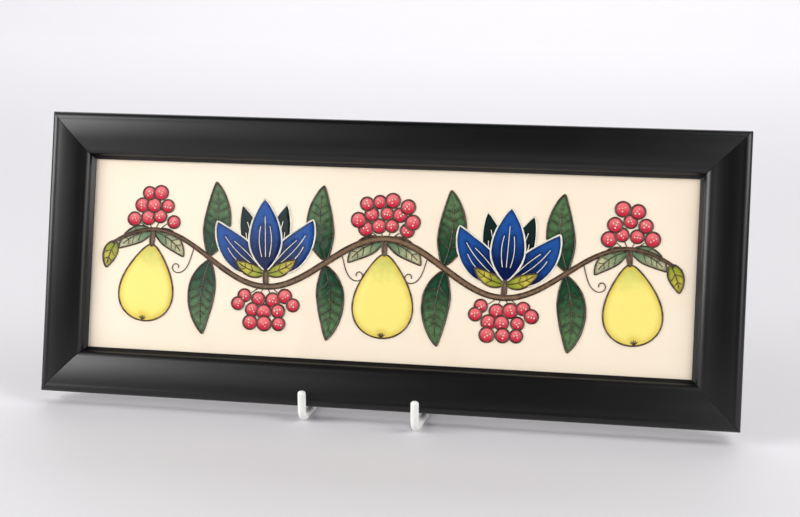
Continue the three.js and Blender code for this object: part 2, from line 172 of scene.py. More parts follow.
class ShaderGraph:
    """One material's nodes, built through a few short methods."""

    def __init__(self, name: str, constants: dict[str, Any]) -> None:
        """Makes the material.

        Args:
            name: The material's name.
            constants: Values that are the same all over, set on the shader's own sockets.
        """
        self.material = bpy.data.materials.new(name)
        self.material.use_nodes = True
        self.tree = self.material.node_tree
        self.shader = self.tree.nodes["Principled BSDF"]
        for socket, value in constants.items():
            self.shader.inputs[socket].default_value = value

    def node(self, kind: str, inputs: dict[str | int, Any], **settings: Any) -> bpy.types.NodeOutputs:
        """Adds a shader node and gives its outputs."""
        return add_node(self.tree, f"ShaderNode{kind}", inputs, settings).outputs

    def math(self, operation: str, first: Value | float, second: Value | float) -> Value:
        """A Math node on two numbers."""
        return Value(self, self.node("Math", {0: first, 1: second}, operation=operation)[0])

    def attribute(self, name: str) -> Value:
        """A number that the mesh carries."""
        return Value(self, self.node("Attribute", {}, attribute_name=name)["Fac"])

    def place(self, stretch: Sequence[float] = (1, 1, 1), turn: Sequence[float] = (0, 0, 0)) -> Any:
        """Object coordinates, stretched and turned by radians along each axis."""
        inputs = {"Vector": self.node("TexCoord", {})["Object"], "Scale": stretch, "Rotation": turn}
        return self.node("Mapping", inputs, vector_type="POINT")["Vector"]

    def noise(self, cell: float, detail: float = 2.0, place: Any = None) -> Value:
        """Fractal noise from 0 to 1.

        Args:
            cell: Size of its cells in metres.
            detail: Number of finer layers.
            place: Coordinates, or the object's own.

        Returns:
            The noise.
        """
        vector = place if place is not None else self.place()
        inputs = {"Vector": vector, "Scale": 1 / cell, "Detail": detail}
        return Value(self, self.node("TexNoise", inputs)["Fac"])

    def mix(self, first: Any, second: Any, share: Value | float) -> Any:
        """The colour at a share of the way from one colour to another, each a tuple or a socket."""
        inputs = {0: share, 6: first, 7: second}
        return self.node("Mix", inputs, data_type="RGBA", clamp_factor=True)[2]

    def bump(self, height: Value, depth: float, below: Any = None) -> Any:
        """A bumped normal.

        Args:
            height: Height from 0 to 1.
            depth: What height 1 stands for, in metres.
            below: An earlier bump's normal.

        Returns:
            The normal socket.
        """
        inputs: dict[str | int, Any] = {"Height": height, "Distance": depth}
        if below is not None:
            inputs["Normal"] = below
        return self.node("Bump", inputs)["Normal"]

    def finish(self, links: dict[str, Any]) -> bpy.types.Material:
        """Links what varies to the shader.

        Args:
            links: A Value or a socket for each of the shader's inputs.

        Returns:
            The finished material.
        """
        for name, value in links.items():
            socket = value.socket if isinstance(value, Value) else value
            self.tree.links.new(socket, self.shader.inputs[name])
        return self.material


@dataclass(frozen=True)
class Finish:
    """A named finish, with what is the same all over the piece in its constants."""

    name: str
    constants = {"IOR": 1.5}

    def surface(self, graph: ShaderGraph) -> dict[str, Any]:
        """What varies over the piece, for each of the shader's inputs."""
        raise NotImplementedError

    def material(self) -> bpy.types.Material:
        """Builds the finish as a material."""
        graph = ShaderGraph(self.name, self.constants)
        return graph.finish(self.surface(graph))


@dataclass(frozen=True)
class GlazeFinish(Finish):
    """A glossy glaze that runs from a foot colour to a tip colour and deepens beside the slip lines."""

    foot: Colour
    tip: Colour
    rim: Colour
    rim_strength: float = 0.7
    rim_width: float = 1.4 * MM
    mottle: float = 0.25
    start: float = 0.15
    end: float = 0.8
    streak_size: float = 3.2 * MM
    cloud_size: float = 0.9 * MM
    gloss_size: float = 7 * MM
    ripple_size: float = 5.5 * MM
    ripple_depth: float = 0.05 * MM
    fray: float = 0.6
    speck_level: float = 0.55
    roughness: Pair = (0.045, 0.05)

    def surface(self, graph: ShaderGraph) -> dict[str, Any]:
        """Streaked colour, darker at the lines, under a glassy ripple."""
        streaks = graph.noise(self.streak_size, 3.0)
        cloud = graph.noise(self.cloud_size, 2.0)
        run = graph.attribute("along") + (streaks - 0.5) * self.mottle
        ground = graph.mix(self.foot, self.tip, run.ramp(self.start, self.end))
        frayed = graph.attribute("from_line") / self.rim_width + (cloud - 0.5) * self.fray
        near = 1.0 - frayed.ramp(0.0, 1.0)
        coloured = graph.mix(ground, self.rim, near * self.rim_strength)
        specked = graph.mix(coloured, self.rim, (cloud - self.speck_level) * self.mottle)
        gloss = graph.noise(self.gloss_size, 2.0).over(*self.roughness)
        ripple = graph.bump(graph.noise(self.ripple_size, 1.0), self.ripple_depth)
        return {"Base Color": specked, "Roughness": gloss, "Normal": ripple}


@dataclass(frozen=True)
class GroundFinish(Finish):
    """The clear glaze over the cream ground, with faint cloudiness, fine specks and a soft ripple."""

    cream: Colour
    warm: Colour
    speck: Colour
    cloud_size: float = 38 * MM
    rim_width: float = 1.2 * MM
    speck_size: float = 0.45 * MM
    patch_size: float = 9 * MM
    gloss_size: float = 11 * MM
    swell_size: float = 26 * MM
    swell_depth: float = 0.22 * MM
    ripple_size: float = 6 * MM
    ripple_depth: float = 0.018 * MM
    cloud_range: Pair = (0.35, 0.75)
    cloud_strength: float = 0.55
    rim_strength: float = 0.3
    speck_range: Pair = (0.74, 0.82)
    patch_range: Pair = (0.5, 0.7)
    speck_strength: float = 0.35
    roughness: Pair = (0.04, 0.035)

    def surface(self, graph: ShaderGraph) -> dict[str, Any]:
        """Clouded cream with specks in patches, under a swell and a ripple."""
        cloud = graph.noise(self.cloud_size, 3.0)
        near = 1.0 - (graph.attribute("from_line") / self.rim_width).ramp(0.0, 1.0)
        warmth = cloud.ramp(*self.cloud_range) * self.cloud_strength + near * self.rim_strength
        ground = graph.mix(self.cream, self.warm, warmth)
        grain = graph.noise(self.speck_size, 1.0).ramp(*self.speck_range)
        patches = graph.noise(self.patch_size, 2.0).ramp(*self.patch_range)
        specked = graph.mix(ground, self.speck, grain * patches * self.speck_strength)
        gloss = graph.noise(self.gloss_size, 2.0).over(*self.roughness)
        swell = graph.bump(graph.noise(self.swell_size, 1.0), self.swell_depth)
        ripple = graph.bump(graph.noise(self.ripple_size, 1.0), self.ripple_depth, swell)
        return {"Base Color": specked, "Roughness": gloss, "Normal": ripple}


@dataclass(frozen=True)
class SlipFinish(Finish):
    """A trailed clay line under clear glaze, thinner and lighter where it was pulled fast."""

    body: Colour
    worn: Colour
    drag_size: float = 2.4 * MM
    lump_size: float = 0.8 * MM
    lump_depth: float = 0.06 * MM
    drag_range: Pair = (0.35, 0.75)
    wear: float = 0.8
    roughness: Pair = (0.12, 0.08)

    def surface(self, graph: ShaderGraph) -> dict[str, Any]:
        """Dragged clay, lumpy under its glaze."""
        drag = graph.noise(self.drag_size, 3.0).ramp(*self.drag_range)
        colour = graph.mix(self.body, self.worn, drag * self.wear)
        lumps = graph.bump(graph.noise(self.lump_size, 2.0), self.lump_depth)
        return {"Base Color": colour, "Roughness": drag.over(*self.roughness), "Normal": lumps}


@dataclass(frozen=True)
class LacquerFinish(Finish):
    """Satin black lacquer sprayed on a wooden moulding, with a fine orange peel and a trace of the grain."""

    black: Colour
    rubbed: Colour
    grain_turn: float
    grain_stretch: float = 14.0
    grain_size: float = 9 * MM
    grain_depth: float = 0.008 * MM
    peel_size: float = 0.7 * MM
    peel_depth: float = 0.012 * MM
    haze_size: float = 24 * MM
    haze_range: Pair = (0.4, 0.8)
    haze_strength: float = 0.5
    grain_range: Pair = (0.55, 0.8)
    grain_strength: float = 0.25
    pore_range: Pair = (0.3, 0.7)
    roughness: float = 0.32
    haze_roughness: float = 0.04
    grain_roughness: float = 0.015

    def surface(self, graph: ShaderGraph) -> dict[str, Any]:
        """Rubbed black with a slight haze, over grain that runs along the rail."""
        stretch = (1.0, self.grain_stretch, self.grain_stretch)
        along = graph.place(stretch, (0.0, self.grain_turn, 0.0))
        grain = graph.noise(self.grain_size, 4.0, along)
        peel = graph.noise(self.peel_size, 2.0)
        haze = graph.noise(self.haze_size, 3.0)
        hazy = haze.ramp(*self.haze_range) * self.haze_strength
        grained = grain.ramp(*self.grain_range) * self.grain_strength
        colour = graph.mix(self.black, self.rubbed, hazy + grained)
        gloss = haze * self.haze_roughness + grain * self.grain_roughness + self.roughness
        skin = graph.bump(peel, self.peel_depth)
        pores = graph.bump(grain.ramp(*self.pore_range), self.grain_depth, skin)
        return {"Base Color": colour, "Roughness": gloss, "Normal": pores}


@dataclass(frozen=True)
class CoatedWireFinish(Finish):
    """Dip-coated white plastic over steel wire: smooth, a little wavy, faintly yellowed in patches."""

    white: Colour
    yellowed: Colour
    patch_size: float = 12 * MM
    scuff_size: float = 0.9 * MM
    wave_size: float = 3.5 * MM
    wave_depth: float = 0.05 * MM
    patch_range: Pair = (0.45, 0.8)
    patch_strength: float = 0.5
    scuff_range: Pair = (0.66, 0.8)
    scuff_strength: float = 0.25
    scuff_stretch: float = 0.3
    roughness: Pair = (0.26, 0.12)
    constants = {"IOR": 1.46}

    def surface(self, graph: ShaderGraph) -> dict[str, Any]:
        """Yellowed patches and upright scuffs on a wavy coat."""
        patches = graph.noise(self.patch_size, 3.0).ramp(*self.patch_range)
        scuffs = graph.noise(self.scuff_size, 3.0, graph.place((1.0, 1.0, self.scuff_stretch)))
        worn = scuffs.ramp(*self.scuff_range) * self.scuff_strength
        colour = graph.mix(self.white, self.yellowed, patches * self.patch_strength + worn)
        waves = graph.bump(graph.noise(self.wave_size, 2.0), self.wave_depth)
        return {"Base Color": colour, "Roughness": scuffs.over(*self.roughness), "Normal": waves}


@dataclass(frozen=True)
class BoardFinish(Finish):
    """Plain brown fibreboard with flecks and a matted surface."""

    brown: Colour
    dark: Colour
    pale: Colour
    fibre_size: float = 1.1 * MM
    fibre_depth: float = 0.08 * MM
    fleck_size: float = 0.6 * MM
    cloud_size: float = 45 * MM
    fibre_stretch: float = 3.0
    fibre_range: Pair = (0.4, 0.75)
    fibre_strength: float = 0.6
    cloud_strength: float = 0.3
    fleck_range: Pair = (0.62, 0.76)
    fleck_strength: float = 0.6
    roughness: Pair = (0.62, 0.2)
    constants = {"IOR": 1.45}

    def surface(self, graph: ShaderGraph) -> dict[str, Any]:
        """Clouded brown with fibres along the board and pale flecks."""
        stretch = (1.0, self.fibre_stretch, self.fibre_stretch)
        fibres = graph.noise(self.fibre_size, 4.0, graph.place(stretch))
        flecks = graph.noise(self.fleck_size, 2.0)
        cloud = graph.noise(self.cloud_size, 3.0)
        darkness = fibres.ramp(*self.fibre_range) * self.fibre_strength + cloud * self.cloud_strength
        ground = graph.mix(self.brown, self.dark, darkness)
        colour = graph.mix(ground, self.pale, flecks.ramp(*self.fleck_range) * self.fleck_strength)
        felt = graph.bump(fibres, self.fibre_depth)
        return {"Base Color": colour, "Roughness": fibres.over(*self.roughness), "Normal": felt}


@dataclass(frozen=True)
class SweepFinish(Finish):
    """The plain pale sweep that the object stands on."""

    pale: Colour
    shade: float = 0.94
    cloud_size: float = 400 * MM
    evenness: Pair = (0.98, 0.02)
    constants = {"Roughness": 0.55, "Specular IOR Level": 0.25}

    def surface(self, graph: ShaderGraph) -> dict[str, Any]:
        """A pale ground with a barely visible cloud."""
        tint = graph.noise(self.cloud_size, 2.0).over(*self.evenness)
        darker = tuple(self.shade * value for value in self.pale[:3]) + (1.0,)
        return {"Base Color": graph.mix(darker, self.pale, tint)}


class GeometryTree:
    """A Geometry Nodes tree with named inputs, run once on a host mesh and turned into a plain mesh."""

    def __init__(self, name: str) -> None:
        """Makes an empty tree that takes and gives geometry."""
        self.tree = bpy.data.node_groups.new(name, "GeometryNodeTree")
        self.names: dict[str, str] = {}
        self.entry = self.tree.nodes.new("NodeGroupInput")
        self.exit = self.tree.nodes.new("NodeGroupOutput")
        self.tree.interface.new_socket("Geometry", in_out="OUTPUT", socket_type="NodeSocketGeometry")
        self.inputs("Geometry", "Geometry")

    def inputs(self, kind: str, *names: str) -> None:
        """Adds named inputs of one socket type."""
        for name in names:
            socket = self.tree.interface.new_socket(name, in_out="INPUT", socket_type=f"NodeSocket{kind}")
            self.names[name] = socket.identifier

    def given(self, name: str) -> bpy.types.NodeSocket:
        """The socket that carries a named input."""
        return self.entry.outputs[name]

    def outputs(self, kind: str, inputs: dict[str | int, Any], **settings: Any) -> bpy.types.NodeOutputs:
        """Adds a node and gives all its outputs."""
        return add_node(self.tree, kind, inputs, settings).outputs

    def node(self, kind: str, inputs: dict[str | int, Any], **settings: Any) -> bpy.types.NodeSocket:
        """Adds a node and gives its first enabled output."""
        return next(socket for socket in self.outputs(kind, inputs, **settings) if socket.enabled)

    def math(self, operation: str, *values: Any) -> bpy.types.NodeSocket:
        """A Math node on one to three numbers."""
        return self.node("ShaderNodeMath", dict(enumerate(values)), operation=operation)

    def curve(self) -> bpy.types.NodeSocket:
        """The host's edges as curves."""
        return self.node("GeometryNodeMeshToCurve", {"Mesh": self.given("Geometry")})

    def even_curve(self) -> bpy.types.NodeSocket:
        """The host's edges as curves with even steps, by an input named Step."""
        self.inputs("Float", "Step")
        cut = {"Curve": self.curve(), "Length": self.given("Step")}
        return self.node("GeometryNodeResampleCurve", cut, mode="LENGTH")

    def close_tube(self, curve: bpy.types.NodeSocket, radius: bpy.types.NodeSocket) -> None:
        """Sweeps a round section along a curve, caps it and ends the tree, by an input named Sides.

        Args:
            curve: The middle lines.
            radius: The tube's radius at each point.
        """
        self.inputs("Int", "Sides")
        circle = {"Resolution": self.given("Sides"), "Radius": 1.0}
        profile = self.node("GeometryNodeCurvePrimitiveCircle", circle)
        sweep = {"Curve": curve, "Profile Curve": profile, "Scale": radius, "Fill Caps": True}
        self.close(self.node("GeometryNodeCurveToMesh", sweep))

    def close(self, geometry: bpy.types.NodeSocket) -> None:
        """Ends the tree in Realize Instances and Set Material."""
        self.inputs("Material", "Material")
        smooth = self.node("GeometryNodeSetShadeSmooth", {"Geometry": geometry})
        real = self.node("GeometryNodeRealizeInstances", {"Geometry": smooth})
        dressed = {"Geometry": real, "Material": self.given("Material")}
        self.tree.links.new(self.node("GeometryNodeSetMaterial", dressed), self.exit.inputs["Geometry"])

    def run(self, host: bpy.types.Object, values: dict[str, Any]) -> bpy.types.Object:
        """Runs the tree on a host object, which becomes the plain result.

        Args:
            host: The object that carries the starting geometry.
            values: A value for each named input.

        Returns:
            The same object with its new mesh and no modifier.
        """
        modifier = host.modifiers.new("made", "NODES")
        modifier.node_group = self.tree
        for name, value in values.items():
            modifier[self.names[name]] = value
        host.update_tag()
        depsgraph = bpy.context.evaluated_depsgraph_get()
        result = bpy.data.meshes.new_from_object(host.evaluated_get(depsgraph))
        host.modifiers.clear()
        host.data = result
        result.name = host.name
        result.materials.clear()
        result.materials.append(values["Material"])
        return host


def new_object(
    name: str,
    points: Iterable[Sequence[float]],
    edges: Iterable[Sequence[int]],
    faces: Iterable[Sequence[int]],
) -> bpy.types.Object:
    """Makes an object from plain lists and links it to the scene.

    Args:
        name: The object's name.
        points: Its vertices, in metres.
        edges: Its loose edges.
        faces: Its faces.

    Returns:
        The new object.
    """
    mesh = bpy.data.meshes.new(name)
    mesh.from_pydata([tuple(point) for point in points], list(edges), list(faces))
    mesh.update()
    made = bpy.data.objects.new(name, mesh)
    bpy.context.scene.collection.objects.link(made)
    return made


def hand_over(piece: bpy.types.Object, slot: str, *nodes: str) -> None:
    """Lets a finished piece ride, hides the nodes that it stands for, and reports it with their names.

    Args:
        piece: The finished piece.
        slot: The record's material slot; not used.
        nodes: The solids that it replaces.
    """
    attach(piece, BODY)
    if nodes:
        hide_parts(*nodes)
    stood_for = ", ".join(nodes) or "itself"
    LOG.info("%s: %d faces, stands for %s", piece.name, len(piece.data.polygons), stood_for)


@dataclass
class PlaqueSpace:
    """The leaning plaque's own axes: x to the right, y up the face and z out of it, in millimetres."""

    lean: float = math.radians(15.07)
    board_depth: float = 8.7
    to_frame: Matrix = field(init=False)

    def __post_init__(self) -> None:
        """Works out the change from the plaque's millimetres to the frame's metres."""
        low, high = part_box("backing_board")
        out = Vector((0.0, -math.cos(self.lean), math.sin(self.lean)))
        up = Vector((0.0, math.sin(self.lean), math.cos(self.lean)))
        centre = (low + high) / 2 + out * self.board_depth * MM
        turn = Matrix((Vector((1.0, 0.0, 0.0)), up, out)).transposed()
        self.to_frame = Matrix.Translation(centre) @ turn.to_4x4() @ Matrix.Diagonal((MM, MM, MM, 1.0))

    def place(self, x: float, up: float, out: float) -> Vector:
        """A point of the plaque in the frame's metres."""
        return self.to_frame @ Vector((x, up, out))


def heading_vector(heading: float) -> np.ndarray:
    """The unit vector at a heading in degrees."""
    return np.array((math.cos(math.radians(heading)), math.sin(math.radians(heading))))


def walk(turns: np.ndarray, length: float) -> np.ndarray:
    """The points of a line from the origin, with even steps at the given headings in radians.

    Args:
        turns: The heading of each step.
        length: The line's length.

    Returns:
        One point more than there are steps.
    """
    moves = np.stack((np.cos(turns), np.sin(turns)), axis=1) * length / len(turns)
    return np.concatenate((np.zeros((1, 2)), np.cumsum(moves, axis=0)))


@dataclass(frozen=True)
class Motif:
    """One filled shape of the drawing, laid over the shapes before it."""

    outline: np.ndarray
    glaze: Glaze
    slip: Slip
    foot: np.ndarray
    heading: float
    length: float
    dome: float


@dataclass(frozen=True)
class Stroke:
    """A trailed line of its own, such as a vein, drawn on the shape of the given number."""

    points: np.ndarray
    slip: Slip
    thickness: float
    layer: int


@dataclass(frozen=True)
class Blade:
    """A leaf, petal or stalk that points along +x from its foot at the origin."""

    length: float
    width: float
    bend: float
    glaze: Glaze
    dome: float
    vein_pairs: int = 0
    swell: float = 0.8
    fullness: float = 0.42
    step: float = 0.8

    @property
    def steps(self) -> int:
        """Number of steps along its middle line."""
        return max(8, round(self.length / self.step))

    def bent(self, way: float, scale: float = 1.0) -> Blade:
        """The same blade, bent the way of the sign, at another scale."""
        return replace(self, length=self.length * scale, width=self.width * scale, bend=way * self.bend)

    def middle(self) -> np.ndarray:
        """The points of its bent middle line."""
        share = (np.arange(self.steps) + 0.5) / self.steps - 0.5
        return walk(np.radians(self.bend) * share, self.length)

    def half_width(self, share: np.ndarray) -> np.ndarray:
        """Half its width at each share of its length."""
        full = self.fullness
        phase = np.where(share < full, share / full / 2, 0.5 + (share - full) / (1 - full) / 2)
        return self.width / 2 * np.maximum(np.sin(np.pi * phase), 0.0) ** self.swell

    def outline(self) -> np.ndarray:
        """Its outline, up one side and down the other."""
        middle = self.middle()
        share = np.linspace(0.0, 1.0, self.steps + 1)
        turns = np.radians(self.bend) * (share - 0.5)
        across = np.stack((-np.sin(turns), np.cos(turns)), axis=1) * self.half_width(share)[:, None]
        return np.concatenate((middle + across, (middle - across)[-2:0:-1]))


@dataclass
class FruitScroll:
    """The drawing: a vine in waves with a pear under each crest and a flower in each trough.

    Its sizes are millimetres on the plaque's face and its angles are degrees.
    """

    vine_wave: float = 118.0
    vine_rise: float = 13.0
    vine_reach: float = 139.0
    vine_thick: float = 1.3
    vine_thin: float = 0.55
    vine_dome: float = 0.25
    vine_fineness: float = 2.3
    pear_length: float = 41.0
    pear_width: float = 30.0
    pear_neck: float = 0.4
    pear_flatness: float = 0.05
    pear_girth: float = 110.0
    pear_dome: float = 0.5
    side_pear_scale: float = 0.94
    side_pear_lean: float = 5.0
    spur_turns: tuple[float, ...] = (-52, -26, 0, 26, 52)
    spur_length: float = 2.3
    spur_overlap: float = 0.4
    big_leaf: Blade = Blade(38.0, 13.5, 34.0, Glaze.FOREST, 0.28, 5)
    big_leaf_tilt: float = 4.0
    big_leaf_foot: float = 0.6
    small_leaf: Blade = Blade(22.0, 9.0, -50.0, Glaze.SAGE, 0.25, 3)
    small_leaf_spread: float = 58.0
    end_leaf: Blade = Blade(15.0, 7.2, -30.0, Glaze.LIME, 0.22, 2)
    end_leaf_turn: float = 160.0
    end_leaf_overlap: float = 2.0
    back_petal: Blade = Blade(35.0, 12.0, 10.0, Glaze.INK, 0.3)
    back_petal_spread: float = 19.0
    side_petal: Blade = Blade(36.0, 15.5, 44.0, Glaze.COBALT, 0.3)
    side_petal_spread: float = 44.0
    middle_petal: Blade = Blade(36.0, 16.7, 0.0, Glaze.COBALT, 0.3)
    petal_line_reach: float = 0.78
    petal_line_shortening: float = 0.14
    petal_line_start: float = 0.2
    petal_line_spread: float = 3.1
    petal_line_end: float = 0.9
    petal_line_curve: float = 1.2
    flower_lean: float = 3.0
    sepal: Blade = Blade(17.0, 6.3, 40.0, Glaze.LIME, 0.2, 2)
    sepal_spread: float = 66.0
    pear_stalk: Blade = Blade(8.5, 2.3, 12.0, Glaze.BARK, 0.15, 0, 0.3)
    flower_stalk: Blade = Blade(8.5, 2.3, 0.0, Glaze.BARK, 0.15, 0, 0.3)
    stalk_overlap: float = 1.0
    berry_radius: float = 3.6
    berry_standoff: float = 6.6
    berry_pitch: float = 6.84
    berry_row_pitch: float = 5.98
    berry_droop: float = 0.02
    berry_stray: float = 0.5
    berry_variation: float = 0.07
    berry_shrink: float = 0.7
    berry_beats: tuple[float, ...] = (2.1, 3.3, 1.7)
    berry_dome: float = 0.55
    berry_sides: int = 28
    stem_foot: float = 0.35
    stem_curve: float = 1.6
    stem_points: int = 12
    tendril_stand_off: float = 21.5
    tendril_length: float = 27.0
    tendril_sway: float = 16.0
    tendril_curl: float = 400.0
    tendril_step: float = 0.4
    vein: float = 0.26
    fine_vein: float = 0.2
    midrib_reach: float = 0.9
    first_vein: float = 0.12
    vein_span: float = 0.62
    vein_reach: float = 0.74
    vein_slant: float = 48.0
    vein_spread: float = 44.0
    vein_curl: float = 0.03
    vein_points: int = 8
    vein_tip_room: float = 0.4
    step: float = 0.8
    motifs: list[Motif] = field(default_factory=list)
    strokes: list[Stroke] = field(default_factory=list)

    def __post_init__(self) -> None:
        """Lays every motif in its order."""
        wave = self.vine_wave
        for crossing in (-3, -1, 1, 3):
            self.crossing_leaves(crossing)
        for side in (-1, 1):
            x = side * (self.vine_reach - self.end_leaf_overlap)
            at = np.array((x, self.vine_height(x)))
            self.lay_blade(self.end_leaf.bent(side), 90 - side * self.end_leaf_turn, at)
        for x, side, rows, phase in (
            (-wave, 1, (4, 3, 2), 0),
            (0.0, 1, (4, 5, 4), 1),
            (wave, 1, (4, 3, 2), 2),
            (-wave / 2, -1, (4, 5, 3), 4),
            (wave / 2, -1, (4, 5, 3), 5),
        ):
            self.berries(x, side, rows, phase)
        for side in (-1, 0, 1):
            scale = self.side_pear_scale if side else 1.0
            self.pear_spray(side * wave, side * self.side_pear_lean, scale)
        for side in (-1, 1):
            self.flower_spray(side * wave / 2, -side * self.flower_lean)
        for crest, side in ((-wave, 1), (0.0, -1), (0.0, 1), (wave, -1)):
            self.tendril(crest, side)
        self.vine()

    def pear(self, scale: float) -> np.ndarray:
        """The outline of a pear that hangs along +x from its neck at the origin."""
        angles = np.linspace(0.0, 2 * np.pi, round(self.pear_girth * scale / self.step), endpoint=False)
        narrowing = 1 - self.pear_neck * np.cos(angles) - self.pear_flatness * np.cos(2 * angles)
        sideways = np.sin(angles) * narrowing
        sideways *= scale * self.pear_width / 2 / sideways.max()
        return np.stack((scale * self.pear_length * (1 - np.cos(angles)) / 2, sideways), axis=1)

    @staticmethod
    def placed(points: np.ndarray, heading: float, at: np.ndarray) -> np.ndarray:
        """Points turned to a heading and moved to a place."""
        along = heading_vector(heading)
        across = heading_vector(heading + 90)
        return points[:, :1] * along + points[:, 1:] * across + at

    def lay(
        self, outline: np.ndarray, heading: float, at: np.ndarray, glaze: Glaze, dome: float, length: float
    ) -> None:
        """Lays a shape over those before it, with its outline counter-clockwise.

        Args:
            outline: Its outline from the origin, along +x.
            heading: Where it points.
            at: Where its foot goes.
            glaze: What fills it.
            dome: How high its glaze stands.
            length: Over what length its colour runs.
        """
        slip = Slip.PALE if glaze in (Glaze.COBALT, Glaze.INK) else Slip.BROWN
        x, y = outline.T
        if np.dot(x, np.roll(y, -1)) < np.dot(y, np.roll(x, -1)):
            outline = outline[::-1]
        self.motifs.append(Motif(self.placed(outline, heading, at), glaze, slip, at, heading, length, dome))

    def draw(self, points: np.ndarray, heading: float, at: np.ndarray, slip: Slip, thickness: float) -> None:
        """Draws a line of its own on the shape that was laid last."""
        self.strokes.append(Stroke(self.placed(points, heading, at), slip, thickness, len(self.motifs) - 1))

    def lay_blade(self, blade: Blade, heading: float, at: np.ndarray) -> None:
        """Lays a blade and draws its veins: a midrib, and pairs that stop short of its edge.

        Args:
            blade: The leaf, petal or stalk.
            heading: Where it points.
            at: Where its foot goes.
        """
        self.lay(blade.outline(), heading, at, blade.glaze, blade.dome, blade.length)
        if not blade.vein_pairs:
            return
        middle = blade.middle()
        midrib = middle[: round(blade.steps * self.midrib_reach)]
        self.draw(midrib, heading, at, Slip.BROWN, self.vein)
        for pair in range(1, blade.vein_pairs + 1):
            share = self.first_vein + self.vein_span * pair / (blade.vein_pairs + self.vein_tip_room)
            foot = middle[round(share * blade.steps)]
            room = float(blade.half_width(np.array(min(share + self.first_vein, 1.0))))
            length = self.vein_reach * room / math.sin(math.radians(self.vein_slant))
            reach = np.linspace(0.0, length, self.vein_points)
            for side in (-1, 1):
                curve = np.stack((reach, side * self.vein_curl * reach**2), axis=1)
                turn = blade.bend * (share - 0.5) + side * self.vein_spread
                self.draw(self.placed(curve, turn, foot), heading, at, Slip.BROWN, self.fine_vein)

    def crossing_leaves(self, crossing: int) -> None:
        """Two leaves where the vine crosses the middle line, one up and one down, in quarter waves."""
        x = crossing * self.vine_wave / 4
        outwards = math.copysign(1, crossing) * (1 if abs(crossing) == 1 else -1)
        for side in (1, -1):
            at = np.array((x - side * outwards * self.big_leaf_foot, side * self.big_leaf_foot))
            self.lay_blade(self.big_leaf.bent(outwards), side * 90 - outwards * self.big_leaf_tilt, at)

    def berries(self, x: float, side: int, rows: Sequence[int], phase: float) -> None:
        """A bunch of berries, above the vine for side 1 and below it for -1.

        Args:
            x: Middle of the bunch.
            side: Which side of the vine.
            rows: Number of berries in each row, from the vine outwards.
            phase: Start of the sines that stray the berries.
        """
        number = 0
        share = np.linspace(0.0, 1.0, self.stem_points)
        spread = self.stem_foot + (1 - self.stem_foot) * share**self.stem_curve
        rise = self.vine_rise + share * (self.berry_standoff - self.berry_radius / 2)
        for place in range(rows[0]):
            off = (place - (rows[0] - 1) / 2) * self.berry_pitch
            stem = np.stack((off * spread, side * rise), axis=1)
            self.draw(stem, 0.0, np.array((x, 0.0)), Slip.BROWN, self.vein)
        ring = np.linspace(0.0, 2 * np.pi, self.berry_sides, endpoint=False)
        for row, count in enumerate(rows):
            for place in range(count):
                off = (place - (count - 1) / 2) * self.berry_pitch
                out = self.vine_rise + self.berry_standoff + row * self.berry_row_pitch
                out -= self.berry_droop * off * off
                sideways, upwards, swelling = (beat * number + phase for beat in self.berry_beats)
                stray_x = self.berry_stray * math.sin(sideways)
                stray_y = self.berry_stray * math.cos(upwards)
                at = np.array((x + off + stray_x, side * out + stray_y))
                growth = self.berry_variation * (math.sin(swelling) - self.berry_shrink)
                radius = self.berry_radius * (1 + growth)
                circle = radius * np.stack((np.cos(ring), np.sin(ring)), axis=1)
                start = at - np.array((0.0, radius))
                outline = circle + np.array((radius, 0.0))
                self.lay(outline, 90.0, start, Glaze.CORAL, self.berry_dome, 2 * radius)
                number += 1

    def pear_spray(self, x: float, lean: float, scale: float) -> None:
        """A pear that hangs from a crest between two leaves.

        Args:
            x: Where the crest is.
            lean: How far it swings from straight down.
            scale: Its size against the middle pear.
        """
        foot = np.array((x, self.vine_rise))
        down = -90.0 + lean
        drop = heading_vector(down)
        at = foot + drop * self.stalk_overlap
        for side in (-1, 1):
            self.lay_blade(self.small_leaf.bent(side, scale), down + side * self.small_leaf_spread, at)
        neck = foot + drop * (self.pear_stalk.length - self.stalk_overlap)
        length = self.pear_length * scale
        self.lay(self.pear(scale), down, neck, Glaze.LEMON, self.pear_dome, length)
        spur = np.stack((np.linspace(0.0, self.spur_length, 5), np.zeros(5)), axis=1)
        for turn in self.spur_turns:
            end = neck + drop * (length - self.spur_overlap)
            self.draw(spur, down + 180 + turn, end, Slip.BROWN, self.vein)
        self.lay_blade(self.pear_stalk, down, foot)

    def flower_spray(self, x: float, lean: float) -> None:
        """A flower that stands in a trough.

        Args:
            x: Where the trough is.
            lean: How far it leans from upright.
        """
        foot = np.array((x, -self.vine_rise))
        up = 90.0 + lean
        rise = heading_vector(up)
        base = foot + rise * (self.flower_stalk.length - self.stalk_overlap)
        pairs = ((self.back_petal, self.back_petal_spread), (self.side_petal, self.side_petal_spread))
        for petal, spread in pairs:
            for side in (-1, 1):
                self.petal(petal.bent(side), up - side * spread, base)
        self.petal(self.middle_petal, up, base)
        for side in (-1, 1):
            at = base - rise * self.stalk_overlap
            self.lay_blade(self.sepal.bent(side), up - side * self.sepal_spread, at)
        self.lay_blade(self.flower_stalk, up, foot)

    def petal(self, petal: Blade, heading: float, at: np.ndarray) -> None:
        """Lays a petal with three pale lines that fan along it.

        Args:
            petal: Its shape.
            heading: Where it points.
            at: Where its foot goes.
        """
        self.lay_blade(petal, heading, at)
        start = round(petal.steps * self.petal_line_start)
        for side in (-1, 0, 1):
            reach = self.petal_line_reach - self.petal_line_shortening * abs(side)
            line = petal.middle()[: round(petal.steps * reach)]
            share = np.minimum(np.linspace(0.0, reach, len(line)) / self.petal_line_end, 1.0)
            fan = np.sin(np.pi * share) ** self.petal_line_curve
            line[:, 1] += side * self.petal_line_spread * fan
            self.draw(line[start:], heading, at, Slip.PALE, self.fine_vein)

